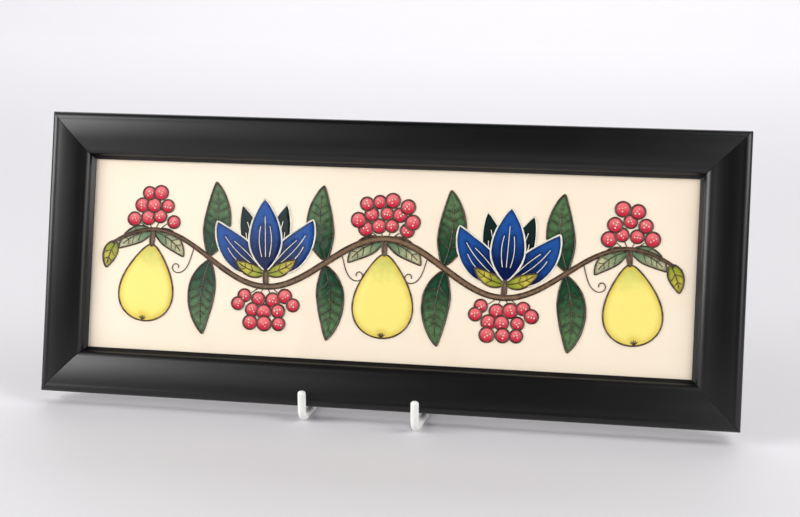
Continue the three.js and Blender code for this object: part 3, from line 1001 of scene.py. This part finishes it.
    def vine_height(self, x: float) -> float:
        """Height of the vine's middle line."""
        return self.vine_rise * math.cos(2 * math.pi * x / self.vine_wave)

    def vine(self) -> None:
        """The vine, thinner towards its ends, over the feet of all that grows from it."""
        count = round(self.vine_fineness * self.vine_reach / self.step)
        x = np.linspace(-self.vine_reach, self.vine_reach, count)
        turn = 2 * np.pi / self.vine_wave
        middle = np.stack((x, self.vine_rise * np.cos(turn * x)), axis=1)
        slope = -self.vine_rise * turn * np.sin(turn * x)
        across = np.stack((-slope, np.ones_like(x)), axis=1)
        across /= np.linalg.norm(across, axis=1)[:, None]
        half = self.vine_thin + (self.vine_thick - self.vine_thin) * np.cos(np.pi * x / 2 / self.vine_reach)
        upper = middle + across * half[:, None]
        lower = middle - across * half[:, None]
        start = np.array((-self.vine_reach, 0.0))
        outline = np.concatenate((upper, lower[::-1])) - start
        self.lay(outline, 0.0, start, Glaze.BARK, self.vine_dome, 2 * self.vine_reach)

    def tendril(self, crest: float, side: int) -> None:
        """A thin line that hangs from the vine beside a pear and curls up towards its end.

        Args:
            crest: Where the pear hangs.
            side: On which side of it.
        """
        x = crest + side * self.tendril_stand_off
        share = np.linspace(0.0, 1.0, round(self.tendril_length / self.tendril_step))
        bend = self.tendril_sway * np.cos(np.pi * share) + self.tendril_curl * share**3
        points = walk(np.radians(-90 - side * bend), self.tendril_length)
        self.draw(points, 0.0, np.array((x, self.vine_height(x))), Slip.BROWN, self.vein)


def inside(points: np.ndarray, outline: np.ndarray) -> np.ndarray:
    """Which points lie within a closed outline.

    Args:
        points: The points to test.
        outline: The outline's corners.

    Returns:
        True for each point within.
    """
    result = np.zeros(len(points), bool)
    low, high = outline.min(axis=0), outline.max(axis=0)
    near = np.flatnonzero(((points > low) & (points < high)).all(axis=1))
    x, y = points[near, 0], points[near, 1]
    odd = np.zeros(len(near), bool)
    for (ax, ay), (bx, by) in zip(outline, np.roll(outline, -1, axis=0)):
        if ay != by:
            crosses = (ay > y) != (by > y)
            odd ^= crosses & (x < (bx - ax) * (y - ay) / (by - ay) + ax)
    result[near] = odd
    return result


def visible_runs(
    points: np.ndarray, closed: bool, covers: Sequence[np.ndarray]
) -> list[tuple[np.ndarray, bool]]:
    """The stretches of a line that later shapes leave uncovered.

    Args:
        points: The line.
        closed: Whether it returns to its start.
        covers: The outlines laid after it.

    Returns:
        Each stretch with whether it is still closed.
    """
    hidden = np.zeros(len(points), bool)
    for outline in covers:
        hidden |= inside(points, outline)
    if not hidden.any():
        return [(points, closed)]
    if hidden.all():
        return []
    if closed:
        first = int(np.flatnonzero(hidden)[0])
        points, hidden = np.roll(points, -first, axis=0), np.roll(hidden, -first)
    runs: list[tuple[np.ndarray, bool]] = []
    start: int | None = None
    for index, covered in enumerate(np.append(hidden, True)):
        if covered and start is not None:
            if index - start > 1:
                runs.append((points[start:index], False))
            start = None
        elif not covered and start is None:
            start = index
    return runs


@dataclass
class GlazedTile:
    """The tile: a slab with softened edges, glaze that pools between slip lines, and the lines themselves.

    Its sizes are millimetres on the plaque's own axes.
    """

    space: PlaqueSpace
    scroll: FruitScroll
    width: float = 304.8
    height: float = 101.6
    thickness: float = 6.4
    face: float = -1.0
    edge_round: float = 0.8
    edge_turns: tuple[float, ...] = (30.0, 60.0, 90.0)
    grid: float = 1.5
    clear: float = 0.55
    weld: float = 1e-4
    wander: float = 0.05
    wander_size: float = 24.0
    climb: float = 0.1
    climb_reach: float = 0.6
    dome_reach: float = 1.6
    outline_bead: float = 0.42
    bead_rise: float = 0.12
    slip_sides: int = 7
    slip_step: float = 0.7
    slip_unevenness: float = 0.7
    slip_lump: float = 5.0
    dots: int = 4
    dot_turn: float = 137.5
    dot_berry_turn: float = 40.0
    dot_spread: float = 0.42
    dot_start: float = 0.35
    dot_span: float = 2.6
    dot_rise: float = 0.42
    dot_radius: float = 0.4
    dot_sizes: Pair = (0.7, 1.15)
    dot_seed: int = 7
    lines: list[tuple[np.ndarray, bool, Slip, float]] = field(default_factory=list)

    def __post_init__(self) -> None:
        """Works out which stretches of the trailed lines show."""
        outlines = [motif.outline for motif in self.scroll.motifs]
        for number, motif in enumerate(self.scroll.motifs):
            for points, closed in visible_runs(motif.outline, True, outlines[number + 1 :]):
                self.lines.append((points, closed, motif.slip, self.outline_bead))
        for stroke in self.scroll.strokes:
            for points, _ in visible_runs(stroke.points, False, outlines[stroke.layer + 1 :]):
                self.lines.append((points, False, stroke.slip, stroke.thickness))

    def build(self) -> None:
        """Makes the slab, the trailed lines and the dots and hands them over."""
        hand_over(self.slab(), "glazed_tile", "ceramic_plaque")
        brown = SlipFinish("brown_slip", srgb(52, 38, 30), srgb(116, 92, 72)).material()
        pale = SlipFinish("pale_slip", srgb(238, 232, 214), srgb(206, 206, 196)).material()
        hand_over(self.trail(Slip.BROWN, brown), "glazed_tile")
        hand_over(self.trail(Slip.PALE, pale), "glazed_tile")
        hand_over(self.berry_dots(pale), "glazed_tile")

    @staticmethod
    def glazes() -> list[bpy.types.Material]:
        """The pots of glaze.

        Returns:
            A material for each glaze, in the order of their list.
        """
        pots = {
            Glaze.FOREST: ((34, 74, 50), (104, 138, 92), (16, 42, 30), 0.75, 2.2 * MM),
            Glaze.LIME: ((150, 160, 52), (222, 204, 84), (112, 118, 34)),
            Glaze.SAGE: ((104, 134, 98), (214, 206, 164), (74, 104, 78)),
            Glaze.CORAL: ((206, 46, 68), (240, 118, 122), (172, 26, 52), 0.8, 1.2 * MM),
            Glaze.LEMON: ((206, 206, 108), (252, 236, 130), (222, 186, 62), 0.6, 3.6 * MM, 0.25, 0.0, 0.4),
            Glaze.COBALT: ((12, 26, 74), (36, 82, 154), (8, 18, 56), 0.8, 2.0 * MM),
            Glaze.INK: ((8, 12, 16), (22, 40, 38), (4, 6, 9)),
            Glaze.BARK: ((128, 102, 80), (150, 124, 98), (88, 64, 48), 0.6),
        }
        cream = (srgb(253, 238, 216), srgb(251, 232, 206), srgb(204, 168, 126))
        materials = [GroundFinish(Glaze.CREAM.value, *cream).material()]
        for glaze, (foot, tip, rim, *effects) in pots.items():
            pot = GlazeFinish(glaze.value, srgb(*foot), srgb(*tip), srgb(*rim), *effects)
            materials.append(pot.material())
        return materials

    def corners(self, inset: float) -> list[Point]:
        """The tile's corners, counter-clockwise, moved in by the inset."""
        x, y = self.width / 2 - inset, self.height / 2 - inset
        return [(-x, -y), (x, -y), (x, y), (-x, y)]

    def cut_face(self, tree: kdtree.KDTree) -> tuple[list[Vector], list[list[int]], list[int]]:
        """The face, cut along every outline.

        Args:
            tree: The lines' sample points.

        Returns:
            The points, the triangles, and each triangle's motif or -1 for the ground.
        """
        outlines = [motif.outline for motif in self.scroll.motifs]
        rims = [np.array(self.corners(self.edge_round)), *outlines]
        points = np.concatenate((*rims, self.grid_points(self.edge_round + self.grid / 2, tree)))
        faces: list[list[int]] = []
        start = 0
        for rim in rims:
            faces.append(list(range(start, start + len(rim))))
            start += len(rim)
        corners = [Vector(point) for point in points]
        flat, _, triangles, _, _, owners = delaunay_2d_cdt(corners, [], faces, 0, self.weld, True)
        return flat, triangles, [max(owner) - 1 if owner else -1 for owner in owners]

    def grid_points(self, inset: float, tree: kdtree.KDTree) -> np.ndarray:
        """Points of a triangular grid that keep clear of the trailed lines.

        Args:
            inset: How far the grid keeps from the tile's edges.
            tree: The lines' sample points.

        Returns:
            The points.
        """
        half_x, half_y = self.corners(inset)[2]
        rows = int(2 * half_y / (self.grid * math.sqrt(3) / 2))
        columns = int(2 * half_x / self.grid)
        kept: list[Point] = []
        for row in range(rows + 1):
            y = -half_y + 2 * half_y * row / rows
            for column in range(columns):
                x = -half_x + 2 * half_x * (column + 0.25 + 0.5 * (row % 2)) / columns
                if tree.find((x, y, 0.0))[2] > self.clear:
                    kept.append((x, y))
        return np.array(kept)

    def slab(self) -> bpy.types.Object:
        """The tile's body: the cut and raised face, the rounded edge, the sides and the back.

        Returns:
            The closed slab.
        """
        samples = np.concatenate([points for points, *_ in self.lines])
        tree = kdtree.KDTree(len(samples))
        for number, (x, y) in enumerate(samples):
            tree.insert((x, y, 0.0), number)
        tree.balance()
        flat, triangles, regions = self.cut_face(tree)
        reach = [tree.find((x, y, 0.0))[2] for x, y in flat]
        motifs = self.scroll.motifs
        domes = [0.0] * len(flat)
        for triangle, region in zip(triangles, regions):
            for corner in triangle if region >= 0 else ():
                domes[corner] = max(domes[corner], motifs[region].dome)
        vertices = [(x, y, self.face + self.relief(x, y, *rise)) for (x, y), *rise in zip(flat, reach, domes)]
        turns = [math.radians(turn) for turn in self.edge_turns]
        rings = [(1 - math.sin(turn), 1 - math.cos(turn)) for turn in turns]
        rings = [(self.edge_round * inset, self.face - self.edge_round * depth) for inset, depth in rings]
        rims = [list(range(4))]
        for inset, depth in (*rings, (0.0, self.face - self.thickness)):
            rims.append(list(range(len(vertices), len(vertices) + 4)))
            vertices += [(x, y, depth) for x, y in self.corners(inset)]
        sides = [
            [outer[i], outer[(i + 1) % 4], inner[(i + 1) % 4], inner[i]]
            for inner, outer in zip(rims, rims[1:])
            for i in range(4)
        ]
        rest = [*sides, rims[-1][::-1]]
        places = [self.space.place(*vertex) for vertex in vertices]
        tile = new_object("glazed_tile", places, [], [*triangles, *rest])
        for glaze in self.glazes():
            tile.data.materials.append(glaze)
        order = list(Glaze)
        kinds = [order.index(motifs[region].glaze) if region >= 0 else 0 for region in regions]
        tile.data.polygons.foreach_set("material_index", kinds + [0] * len(rest))
        tile.data.polygons.foreach_set("use_smooth", [True] * len(triangles) + [False] * len(rest))
        far = [distance * MM for distance in reach] + [1.0] * (len(vertices) - len(flat))
        tile.data.attributes.new("from_line", "FLOAT", "POINT").data.foreach_set("value", far)
        along = self.shares(flat, triangles, regions) + [0.0] * 4 * len(rest)
        tile.data.attributes.new("along", "FLOAT", "CORNER").data.foreach_set("value", along)
        return tile

    def shares(
        self, flat: Sequence[Vector], triangles: Sequence[list[int]], regions: Sequence[int]
    ) -> list[float]:
        """How far along its motif each corner of the face's triangles lies, from the foot.

        Args:
            flat: The face's points.
            triangles: Its triangles.
            regions: The motif of each, or -1 for the ground.

        Returns:
            Shares of the motif's length, and 0 on the ground.
        """
        shares: list[float] = []
        for triangle, region in zip(triangles, regions):
            if region < 0:
                shares += [0.0] * len(triangle)
                continue
            motif = self.scroll.motifs[region]
            direction = heading_vector(motif.heading)
            for corner in triangle:
                shares.append(float(np.dot(np.array(flat[corner]) - motif.foot, direction)) / motif.length)
        return shares

    def relief(self, x: float, y: float, distance: float, dome: float) -> float:
        """Height of the glaze over the flat face at a point.

        Args:
            x: Place along the face.
            y: Place up the face.
            distance: Distance from the nearest trailed line.
            dome: How high the glaze stands far from a line.

        Returns:
            The height.
        """
        wander = self.wander * noise.noise(Vector((x, y, 0.0)) / self.wander_size)
        climb = self.climb * math.exp(-distance / self.climb_reach)
        return wander + climb + dome * (1.0 - math.exp(-distance / self.dome_reach))

    def trail(self, slip: Slip, material: bpy.types.Material) -> bpy.types.Object:
        """The trailed lines of one clay.

        Args:
            slip: Which clay.
            material: Its finish.

        Returns:
            The lines as one piece.
        """
        points: list[Vector] = []
        edges: list[tuple[int, int]] = []
        beads: list[float] = []
        for line, closed, kind, bead in self.lines:
            if kind is not slip:
                continue
            start, count = len(points), len(line)
            points += [self.space.place(x, y, self.face + self.bead_rise) for x, y in line]
            edges += [(start + i, start + i + 1) for i in range(count - 1)]
            if closed:
                edges.append((start + count - 1, start))
            beads += [bead * MM] * count
        host = new_object(f"{slip.value}_lines", points, edges, [])
        host.data.attributes.new("bead", "FLOAT", "POINT").data.foreach_set("value", beads)
        tree = GeometryTree("trailed_slip")
        tree.inputs("Float", "Unevenness", "Lump size")
        even = tree.even_curve()
        thickness = tree.node("GeometryNodeInputNamedAttribute", {"Name": "bead"}, data_type="FLOAT")
        per_metre = tree.math("DIVIDE", 1.0, tree.given("Lump size"))
        lumps = tree.node("ShaderNodeTexNoise", {"Scale": per_metre, "Detail": 1.0})
        swing = tree.math("MULTIPLY", tree.math("SUBTRACT", lumps, 0.5), tree.given("Unevenness"))
        tree.close_tube(even, tree.math("MULTIPLY", thickness, tree.math("ADD", swing, 1.0)))
        return tree.run(host, {
            "Step": self.slip_step * MM,
            "Sides": self.slip_sides,
            "Unevenness": self.slip_unevenness,
            "Lump size": self.slip_lump * MM,
            "Material": material,
        })

    def berry_dots(self, material: bpy.types.Material) -> bpy.types.Object:
        """Small raised dots of pale slip on every berry.

        Args:
            material: The pale slip's finish.

        Returns:
            The dots as one piece.
        """
        points: list[Vector] = []
        for number, motif in enumerate(self.scroll.motifs):
            if motif.glaze is not Glaze.CORAL:
                continue
            radius = motif.length / 2
            centre = motif.foot + np.array((0.0, radius))
            later = self.scroll.motifs[number + 1 :]
            for spot in range(self.dots):
                turn = self.dot_turn * spot + self.dot_berry_turn * number
                out = radius * self.dot_spread * math.sqrt((spot + self.dot_start) / self.dot_span)
                place = centre + out * heading_vector(turn)
                if not any(inside(place[None], cover.outline)[0] for cover in later):
                    points.append(self.space.place(*place, self.face + self.dot_rise))
        host = new_object("berry_dots", points, [], [])
        tree = GeometryTree("slip_dots")
        tree.inputs("Float", "Dot radius")
        tree.inputs("Int", "Seed")
        ball = {"Segments": 8, "Rings": 6, "Radius": tree.given("Dot radius")}
        least, most = self.dot_sizes
        size = {2: least, 3: most, "Seed": tree.given("Seed")}
        tree.close(tree.node("GeometryNodeInstanceOnPoints", {
            "Points": tree.given("Geometry"),
            "Instance": tree.node("GeometryNodeMeshUVSphere", ball),
            "Scale": tree.node("FunctionNodeRandomValue", size, data_type="FLOAT"),
        }))
        values = {"Dot radius": self.dot_radius * MM, "Seed": self.dot_seed, "Material": material}
        return tree.run(host, values)


class Side(Enum):
    """The four rails, each with the solid that it stands for."""

    BOTTOM = "frame_rail_bottom"
    TOP = "frame_rail_top"
    LEFT = "frame_rail_left"
    RIGHT = "frame_rail_right"


@dataclass
class MitredFrame:
    """Four mitred lengths of cushion moulding, in millimetres on the plaque's own axes."""

    space: PlaqueSpace
    width: float = 346.0
    height: float = 141.4
    rail_width: float = 23.4
    shoulder_width: float = 3.8
    shoulder_rise: float = 3.6
    cushion_rise: float = 4.6
    cushion_end_rise: float = 4.1
    inner_shoulder_width: float = 3.7
    sight_width: float = 1.9
    sight_rise: float = 1.5
    sight_edge_rise: float = 0.2
    lip_cover: float = 3.8
    lip_depth: float = 0.7
    back_depth: float = 10.0
    back_edge_bevel: float = 0.6
    mitre_gap: float = 0.05
    arris: float = 0.14
    arris_segments: int = 2
    arris_angle: float = math.radians(25)
    crease_angle: float = math.radians(40)
    weld: float = 1e-4
    curve_steps: int = 14

    def section(self) -> list[Point]:
        """The moulding's section, measured inwards from the outer edge and forwards from the outer arris.

        Returns:
            Its corners in order.
        """
        steps = self.curve_steps
        quarter = [math.pi / 2 * i / steps for i in range(steps + 1)]
        cushion_end = self.rail_width - self.sight_width - self.inner_shoulder_width
        shoulder = [
            (self.shoulder_width * (1 - math.cos(turn)), self.shoulder_rise * math.sin(turn))
            for turn in quarter
        ]
        pull = 2 * self.cushion_rise - (self.shoulder_rise + self.cushion_end_rise) / 2
        cushion = []
        for i in range(1, steps + 1):
            share = i / steps
            x = self.shoulder_width + (cushion_end - self.shoulder_width) * share
            y = (1 - share) ** 2 * self.shoulder_rise + 2 * share * (1 - share) * pull
            cushion.append((x, y + share**2 * self.cushion_end_rise))
        drop = self.cushion_end_rise - self.sight_rise
        fall_width = self.inner_shoulder_width
        fall = [
            (cushion_end + fall_width * math.sin(turn), self.sight_rise + drop * math.cos(turn))
            for turn in quarter[1:]
        ]
        rebate = self.rail_width - self.lip_cover
        return [
            (self.back_edge_bevel, -self.back_depth),
            (0.0, -self.back_depth + self.back_edge_bevel),
            *shoulder,
            *cushion,
            *fall,
            (self.rail_width, self.sight_edge_rise),
            (self.rail_width, -self.lip_depth),
            (rebate, -self.lip_depth),
            (rebate, -self.back_depth),
        ]

    def tree(self) -> GeometryTree:
        """A tree that draws the section along a rail and slants both ends to the mitre.

        Returns:
            The tree, whose host is the section's loop with x inwards and y forwards.
        """
        tree = GeometryTree("mitred_moulding")
        tree.inputs("Float", "Length", "Mitre gap")
        path = tree.node("GeometryNodeCurvePrimitiveLine", {"Start": (0, 0, 0), "End": (0, 0, 1)})
        sweep = {"Curve": path, "Profile Curve": tree.curve(), "Fill Caps": True}
        swept = tree.node("GeometryNodeCurveToMesh", sweep)
        position = tree.node("GeometryNodeInputPosition", {})
        inwards, forwards, end = tree.outputs("ShaderNodeSeparateXYZ", {0: position})
        half = tree.math("MULTIPLY", tree.given("Length"), 0.5)
        reach = tree.math("SUBTRACT", tree.math("SUBTRACT", half, inwards), tree.given("Mitre gap"))
        sideways = tree.math("MULTIPLY", tree.math("MULTIPLY_ADD", end, 2.0, -1.0), reach)
        place = tree.node("ShaderNodeCombineXYZ", {"X": sideways, "Y": inwards, "Z": forwards})
        tree.close(tree.node("GeometryNodeSetPosition", {"Geometry": swept, "Position": place}))
        return tree

    def build(self) -> None:
        """Makes the four rails and hands them over."""
        tree = self.tree()
        section = self.section()
        loop = [(i, (i + 1) % len(section)) for i in range(len(section))]
        quarter = math.pi / 2
        places = {
            Side.BOTTOM: (self.width, 0.0, 0.0, (0.0, -self.height / 2)),
            Side.TOP: (self.width, 2 * quarter, 0.0, (0.0, self.height / 2)),
            Side.LEFT: (self.height, -quarter, quarter, (-self.width / 2, 0.0)),
            Side.RIGHT: (self.height, quarter, quarter, (self.width / 2, 0.0)),
        }
        for side, (length, turn, grain, (x, y)) in places.items():
            name = side.name.lower()
            finish = LacquerFinish(f"lacquer_{name}", srgb(4, 4, 5), srgb(8, 7, 9), grain)
            rail = new_object(f"{name}_rail", [(u, v, 0.0) for u, v in section], loop, [])
            tree.run(rail, {"Length": length, "Mitre gap": self.mitre_gap, "Material": finish.material()})
            self.soften(rail)
            to_plaque = Matrix.Translation((x, y, 0.0)) @ Matrix.Rotation(turn, 4, "Z")
            rail.data.transform(self.space.to_frame @ to_plaque)
            rail.data.update()
            hand_over(rail, "black_lacquered_wood", side.value)

    def soften(self, rail: bpy.types.Object) -> None:
        """Takes the sharpness off a rail's arrises and shades it by angle.

        Args:
            rail: The rail in its own millimetres.
        """
        work = bmesh.new()
        work.from_mesh(rail.data)
        bmesh.ops.remove_doubles(work, verts=work.verts, dist=self.weld)
        bmesh.ops.recalc_face_normals(work, faces=work.faces)
        manifold = [edge for edge in work.edges if edge.is_manifold]
        sharp = [edge for edge in manifold if edge.calc_face_angle() > self.arris_angle]
        cut = {"offset": self.arris, "segments": self.arris_segments, "profile": 0.5, "clamp_overlap": True}
        bmesh.ops.bevel(work, geom=sharp, affect="EDGES", **cut)
        work.to_mesh(rail.data)
        work.free()
        rail.data.shade_smooth()
        rail.data.set_sharp_from_angle(angle=self.crease_angle)


@dataclass
class WireStand:
    """One bent length of coated wire: two prongs, two base runs and a back rest, in millimetres.

    Points of its side are (reach behind the prongs, height). It stands a little turned under the frame.
    """

    wire: float = 4.0
    width: float = 56.8
    offset: float = -8.2
    turn: float = math.radians(5)
    prong_height: float = 16.3
    prong_bend: float = 4.5
    rear_bend: float = 7.0
    top_bend: float = 10.0
    strut_height: float = 85.0
    strut_lean: float = math.radians(18.5)
    wire_sides: int = 24
    fine_step: float = 0.5
    tip_bluntness: float = 3.0
    least_tip: float = 0.3
    to_frame: Matrix = field(init=False)
    rear_reach: float = field(init=False)

    def __post_init__(self) -> None:
        """Takes the stand's place and its depth from the solid's box."""
        low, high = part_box("wire_plate_stand")
        stagger = self.width * math.sin(self.turn)
        front = low.y / MM + (self.wire + stagger) / 2
        self.rear_reach = ((high.y - low.y) / MM - self.wire - stagger) / math.cos(self.turn)
        place = Matrix.Translation((self.offset * MM, front * MM, 0.0))
        self.to_frame = place @ Matrix.Rotation(-self.turn, 4, "Z") @ Matrix.Scale(MM, 4)

    def arc(self, reach: float, height: float, radius: float, start: float, end: float) -> list[Point]:
        """Points of an arc in the side view."""
        steps = max(6, round(abs(end - start) * radius / self.fine_step))
        turns = [start + (end - start) * i / steps for i in range(steps + 1)]
        return [(reach + radius * math.cos(turn), height + radius * math.sin(turn)) for turn in turns]

    def side_route(self) -> list[Point]:
        """From a prong's tip down, back along the floor and round the rear bend.

        Returns:
            The route's points.
        """
        half = self.wire / 2
        quarter = math.pi / 2
        rear = self.rear_reach - self.rear_bend
        return [
            (0.0, self.prong_height),
            *self.arc(self.prong_bend, half + self.prong_bend, self.prong_bend, 2 * quarter, 3 * quarter),
            *self.arc(rear, half + self.rear_bend, self.rear_bend, -quarter, self.strut_lean),
        ]

    def route(self) -> list[Vector]:
        """The whole wire's middle line.

        Returns:
            Its points in metres.
        """
        side = self.side_route()
        end_reach, end_height = side[-1]
        bar_reach = end_reach - (self.strut_height - end_height) * math.tan(self.strut_lean)
        half = self.width / 2
        strut = Vector((0.0, -math.sin(self.strut_lean), math.cos(self.strut_lean)))
        middle = Vector((0.0, bar_reach, self.strut_height))

        def corner(way: int) -> list[Vector]:
            """One top bend, from the strut to the bar."""
            steps = round(math.pi / 2 * self.top_bend / self.fine_step)
            turns = [math.pi / 2 * i / steps for i in range(steps + 1)]
            across = Vector((1.0, 0.0, 0.0))
            return [
                middle
                + strut * self.top_bend * (math.sin(turn) - 1)
                + across * way * (half - self.top_bend * (1 - math.cos(turn)))
                for turn in turns
            ]

        left = [Vector((-half, reach, height)) for reach, height in side]
        right = [Vector((half, reach, height)) for reach, height in reversed(side)]
        points = left + corner(-1) + corner(1)[::-1] + right
        return [self.to_frame @ point for point in points]

    def tree(self) -> GeometryTree:
        """A tree that draws a round wire along its host and closes both tips with blunt domes.

        Returns:
            The tree.
        """
        tree = GeometryTree("coated_wire")
        tree.inputs("Float", "Radius", "Tip bluntness")
        radius, blunt = tree.given("Radius"), tree.given("Tip bluntness")
        even = tree.even_curve()
        done = tree.outputs("GeometryNodeSplineParameter", {})["Length"]
        total = tree.outputs("GeometryNodeSplineLength", {})["Length"]
        to_tip = tree.math("MINIMUM", done, tree.math("SUBTRACT", total, done))
        missing = tree.math("SUBTRACT", 1.0, tree.math("MINIMUM", tree.math("DIVIDE", to_tip, radius), 1.0))
        fullness = tree.math("SUBTRACT", 1.0, tree.math("POWER", missing, blunt))
        dome = tree.math("POWER", fullness, tree.math("DIVIDE", 1.0, blunt))
        tree.close_tube(even, tree.math("MULTIPLY", radius, tree.math("MAXIMUM", dome, self.least_tip)))
        return tree

    def build(self) -> None:
        """Makes the wire and hands it over."""
        points = self.route()
        stand = new_object("coated_wire_stand", points, [(i, i + 1) for i in range(len(points) - 1)], [])
        finish = CoatedWireFinish("white_coating", srgb(246, 246, 243), srgb(238, 235, 222))
        self.tree().run(stand, {
            "Radius": self.wire / 2 * MM,
            "Step": self.fine_step / 2 * MM,
            "Sides": self.wire_sides,
            "Tip bluntness": self.tip_bluntness,
            "Material": finish.material(),
        })
        hand_over(stand, "white_coated_wire", "wire_plate_stand")


@dataclass
class BackingBoard:
    """The thin board behind the tile, which keeps its solid and takes a fibreboard finish."""

    node: str = "backing_board"

    def build(self) -> None:
        """Dresses the solid."""
        finish = BoardFinish("brown_fibreboard", srgb(138, 106, 74), srgb(96, 70, 48), srgb(176, 148, 112))
        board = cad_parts[self.node]
        board.data.materials.clear()
        board.data.materials.append(finish.material())
        LOG.info("%s keeps its solid", self.node)


@dataclass(frozen=True)
class Softbox:
    """A soft rectangular light."""

    name: str
    place: tuple[float, float, float]
    aim: tuple[float, float, float]
    size: tuple[float, float]
    power: float

    def build(self) -> None:
        """Adds the light."""
        light = bpy.data.lights.new(self.name, "AREA")
        light.shape = "RECTANGLE"
        light.size, light.size_y = self.size
        light.energy = self.power
        lamp = bpy.data.objects.new(self.name, light)
        lamp.location = self.place
        lamp.rotation_euler = (Vector(self.aim) - Vector(self.place)).to_track_quat("-Z", "Y").to_euler()
        bpy.context.scene.collection.objects.link(lamp)


@dataclass
class Studio:
    """The pale sweep, the lights and the camera at the photograph's viewing angle."""

    space: PlaqueSpace
    focal_length: float = 67.5
    sensor: float = 36.0
    azimuth: float = 9.94
    elevation: float = 14.46
    camera_from_plaque: tuple[float, float, float] = (129.9, -695.4, 186.0)
    floor_front: float = -9.0
    floor_back: float = 1.6
    floor_side: float = 9.0
    sweep_radius: float = 0.7
    sweep_height: float = 2.2
    sweep_steps: int = 24
    clip: Pair = (0.01, 50.0)
    room_colour: Colour = (0.9, 0.92, 1.0, 1.0)
    room_strength: float = 0.05

    def build(self) -> None:
        """Sets up everything round the object."""
        self.camera()
        self.sweep()
        self.lights()

    def camera(self) -> None:
        """Adds the camera."""
        data = bpy.data.cameras.new("studio_camera")
        data.lens = self.focal_length
        data.sensor_width = self.sensor
        data.clip_start, data.clip_end = self.clip
        camera = bpy.data.objects.new("studio_camera", data)
        camera.location = self.space.place(0, 0, 0) + Vector(self.camera_from_plaque) * MM
        camera.rotation_euler = (math.radians(90 - self.elevation), 0.0, math.radians(self.azimuth))
        bpy.context.scene.collection.objects.link(camera)
        bpy.context.scene.camera = camera

    def sweep(self) -> None:
        """Adds the floor that curves up behind the object."""
        radius = self.sweep_radius
        turns = [math.pi / 2 * i / self.sweep_steps for i in range(self.sweep_steps + 1)]
        bend = [(self.floor_back + radius * math.sin(turn), radius * (1 - math.cos(turn))) for turn in turns]
        profile = [(self.floor_front, 0.0), *bend, (bend[-1][0], self.sweep_height)]
        points = [(x, y, z) for y, z in profile for x in (-self.floor_side, self.floor_side)]
        faces = [(2 * i, 2 * i + 1, 2 * i + 3, 2 * i + 2) for i in range(len(profile) - 1)]
        floor = new_object("pale_sweep", points, [], faces)
        floor.data.materials.append(SweepFinish("pale_sweep", srgb(224, 222, 225)).material())
        floor.data.shade_smooth()

    def lights(self) -> None:
        """Adds the softboxes and the dim room."""
        tile = (0.0, 0.0, 0.08)
        boxes = (
            Softbox("left_softbox", (-1.0, -0.54, 0.5), tile, (0.62, 0.72), 12.2),
            Softbox("left_side_softbox", (-0.92, -0.08, 0.66), tile, (0.5, 0.5), 1.4),
            Softbox("front_left_softbox", (-0.363, -0.712, 0.4), tile, (0.35, 0.45), 0.4),
            Softbox("front_right_softbox", (0.78, -0.78, 0.3), tile, (0.5, 0.5), 2.1),
            Softbox("right_softbox", (0.8, -0.26, 0.66), tile, (0.6, 0.7), 6.4),
            Softbox("sweep_light", (0.0, 1.7, 1.3), (0.0, 1.8, 0.0), (4.0, 1.8), 48.0),
        )
        for box in boxes:
            box.build()
        world = bpy.data.worlds.new("dim_room")
        world.use_nodes = True
        room = world.node_tree.nodes["Background"]
        room.inputs["Color"].default_value = self.room_colour
        room.inputs["Strength"].default_value = self.room_strength
        bpy.context.scene.world = world
        bpy.context.scene.view_settings.view_transform = "Standard"


def main() -> None:
    """Builds every piece in order."""
    logging.basicConfig(level=logging.INFO, format="%(name)s: %(message)s")
    space = PlaqueSpace()
    Studio(space).build()
    GlazedTile(space, FruitScroll()).build()
    MitredFrame(space).build()
    BackingBoard().build()
    WireStand().build()


if __name__ == "__main__":
    main()
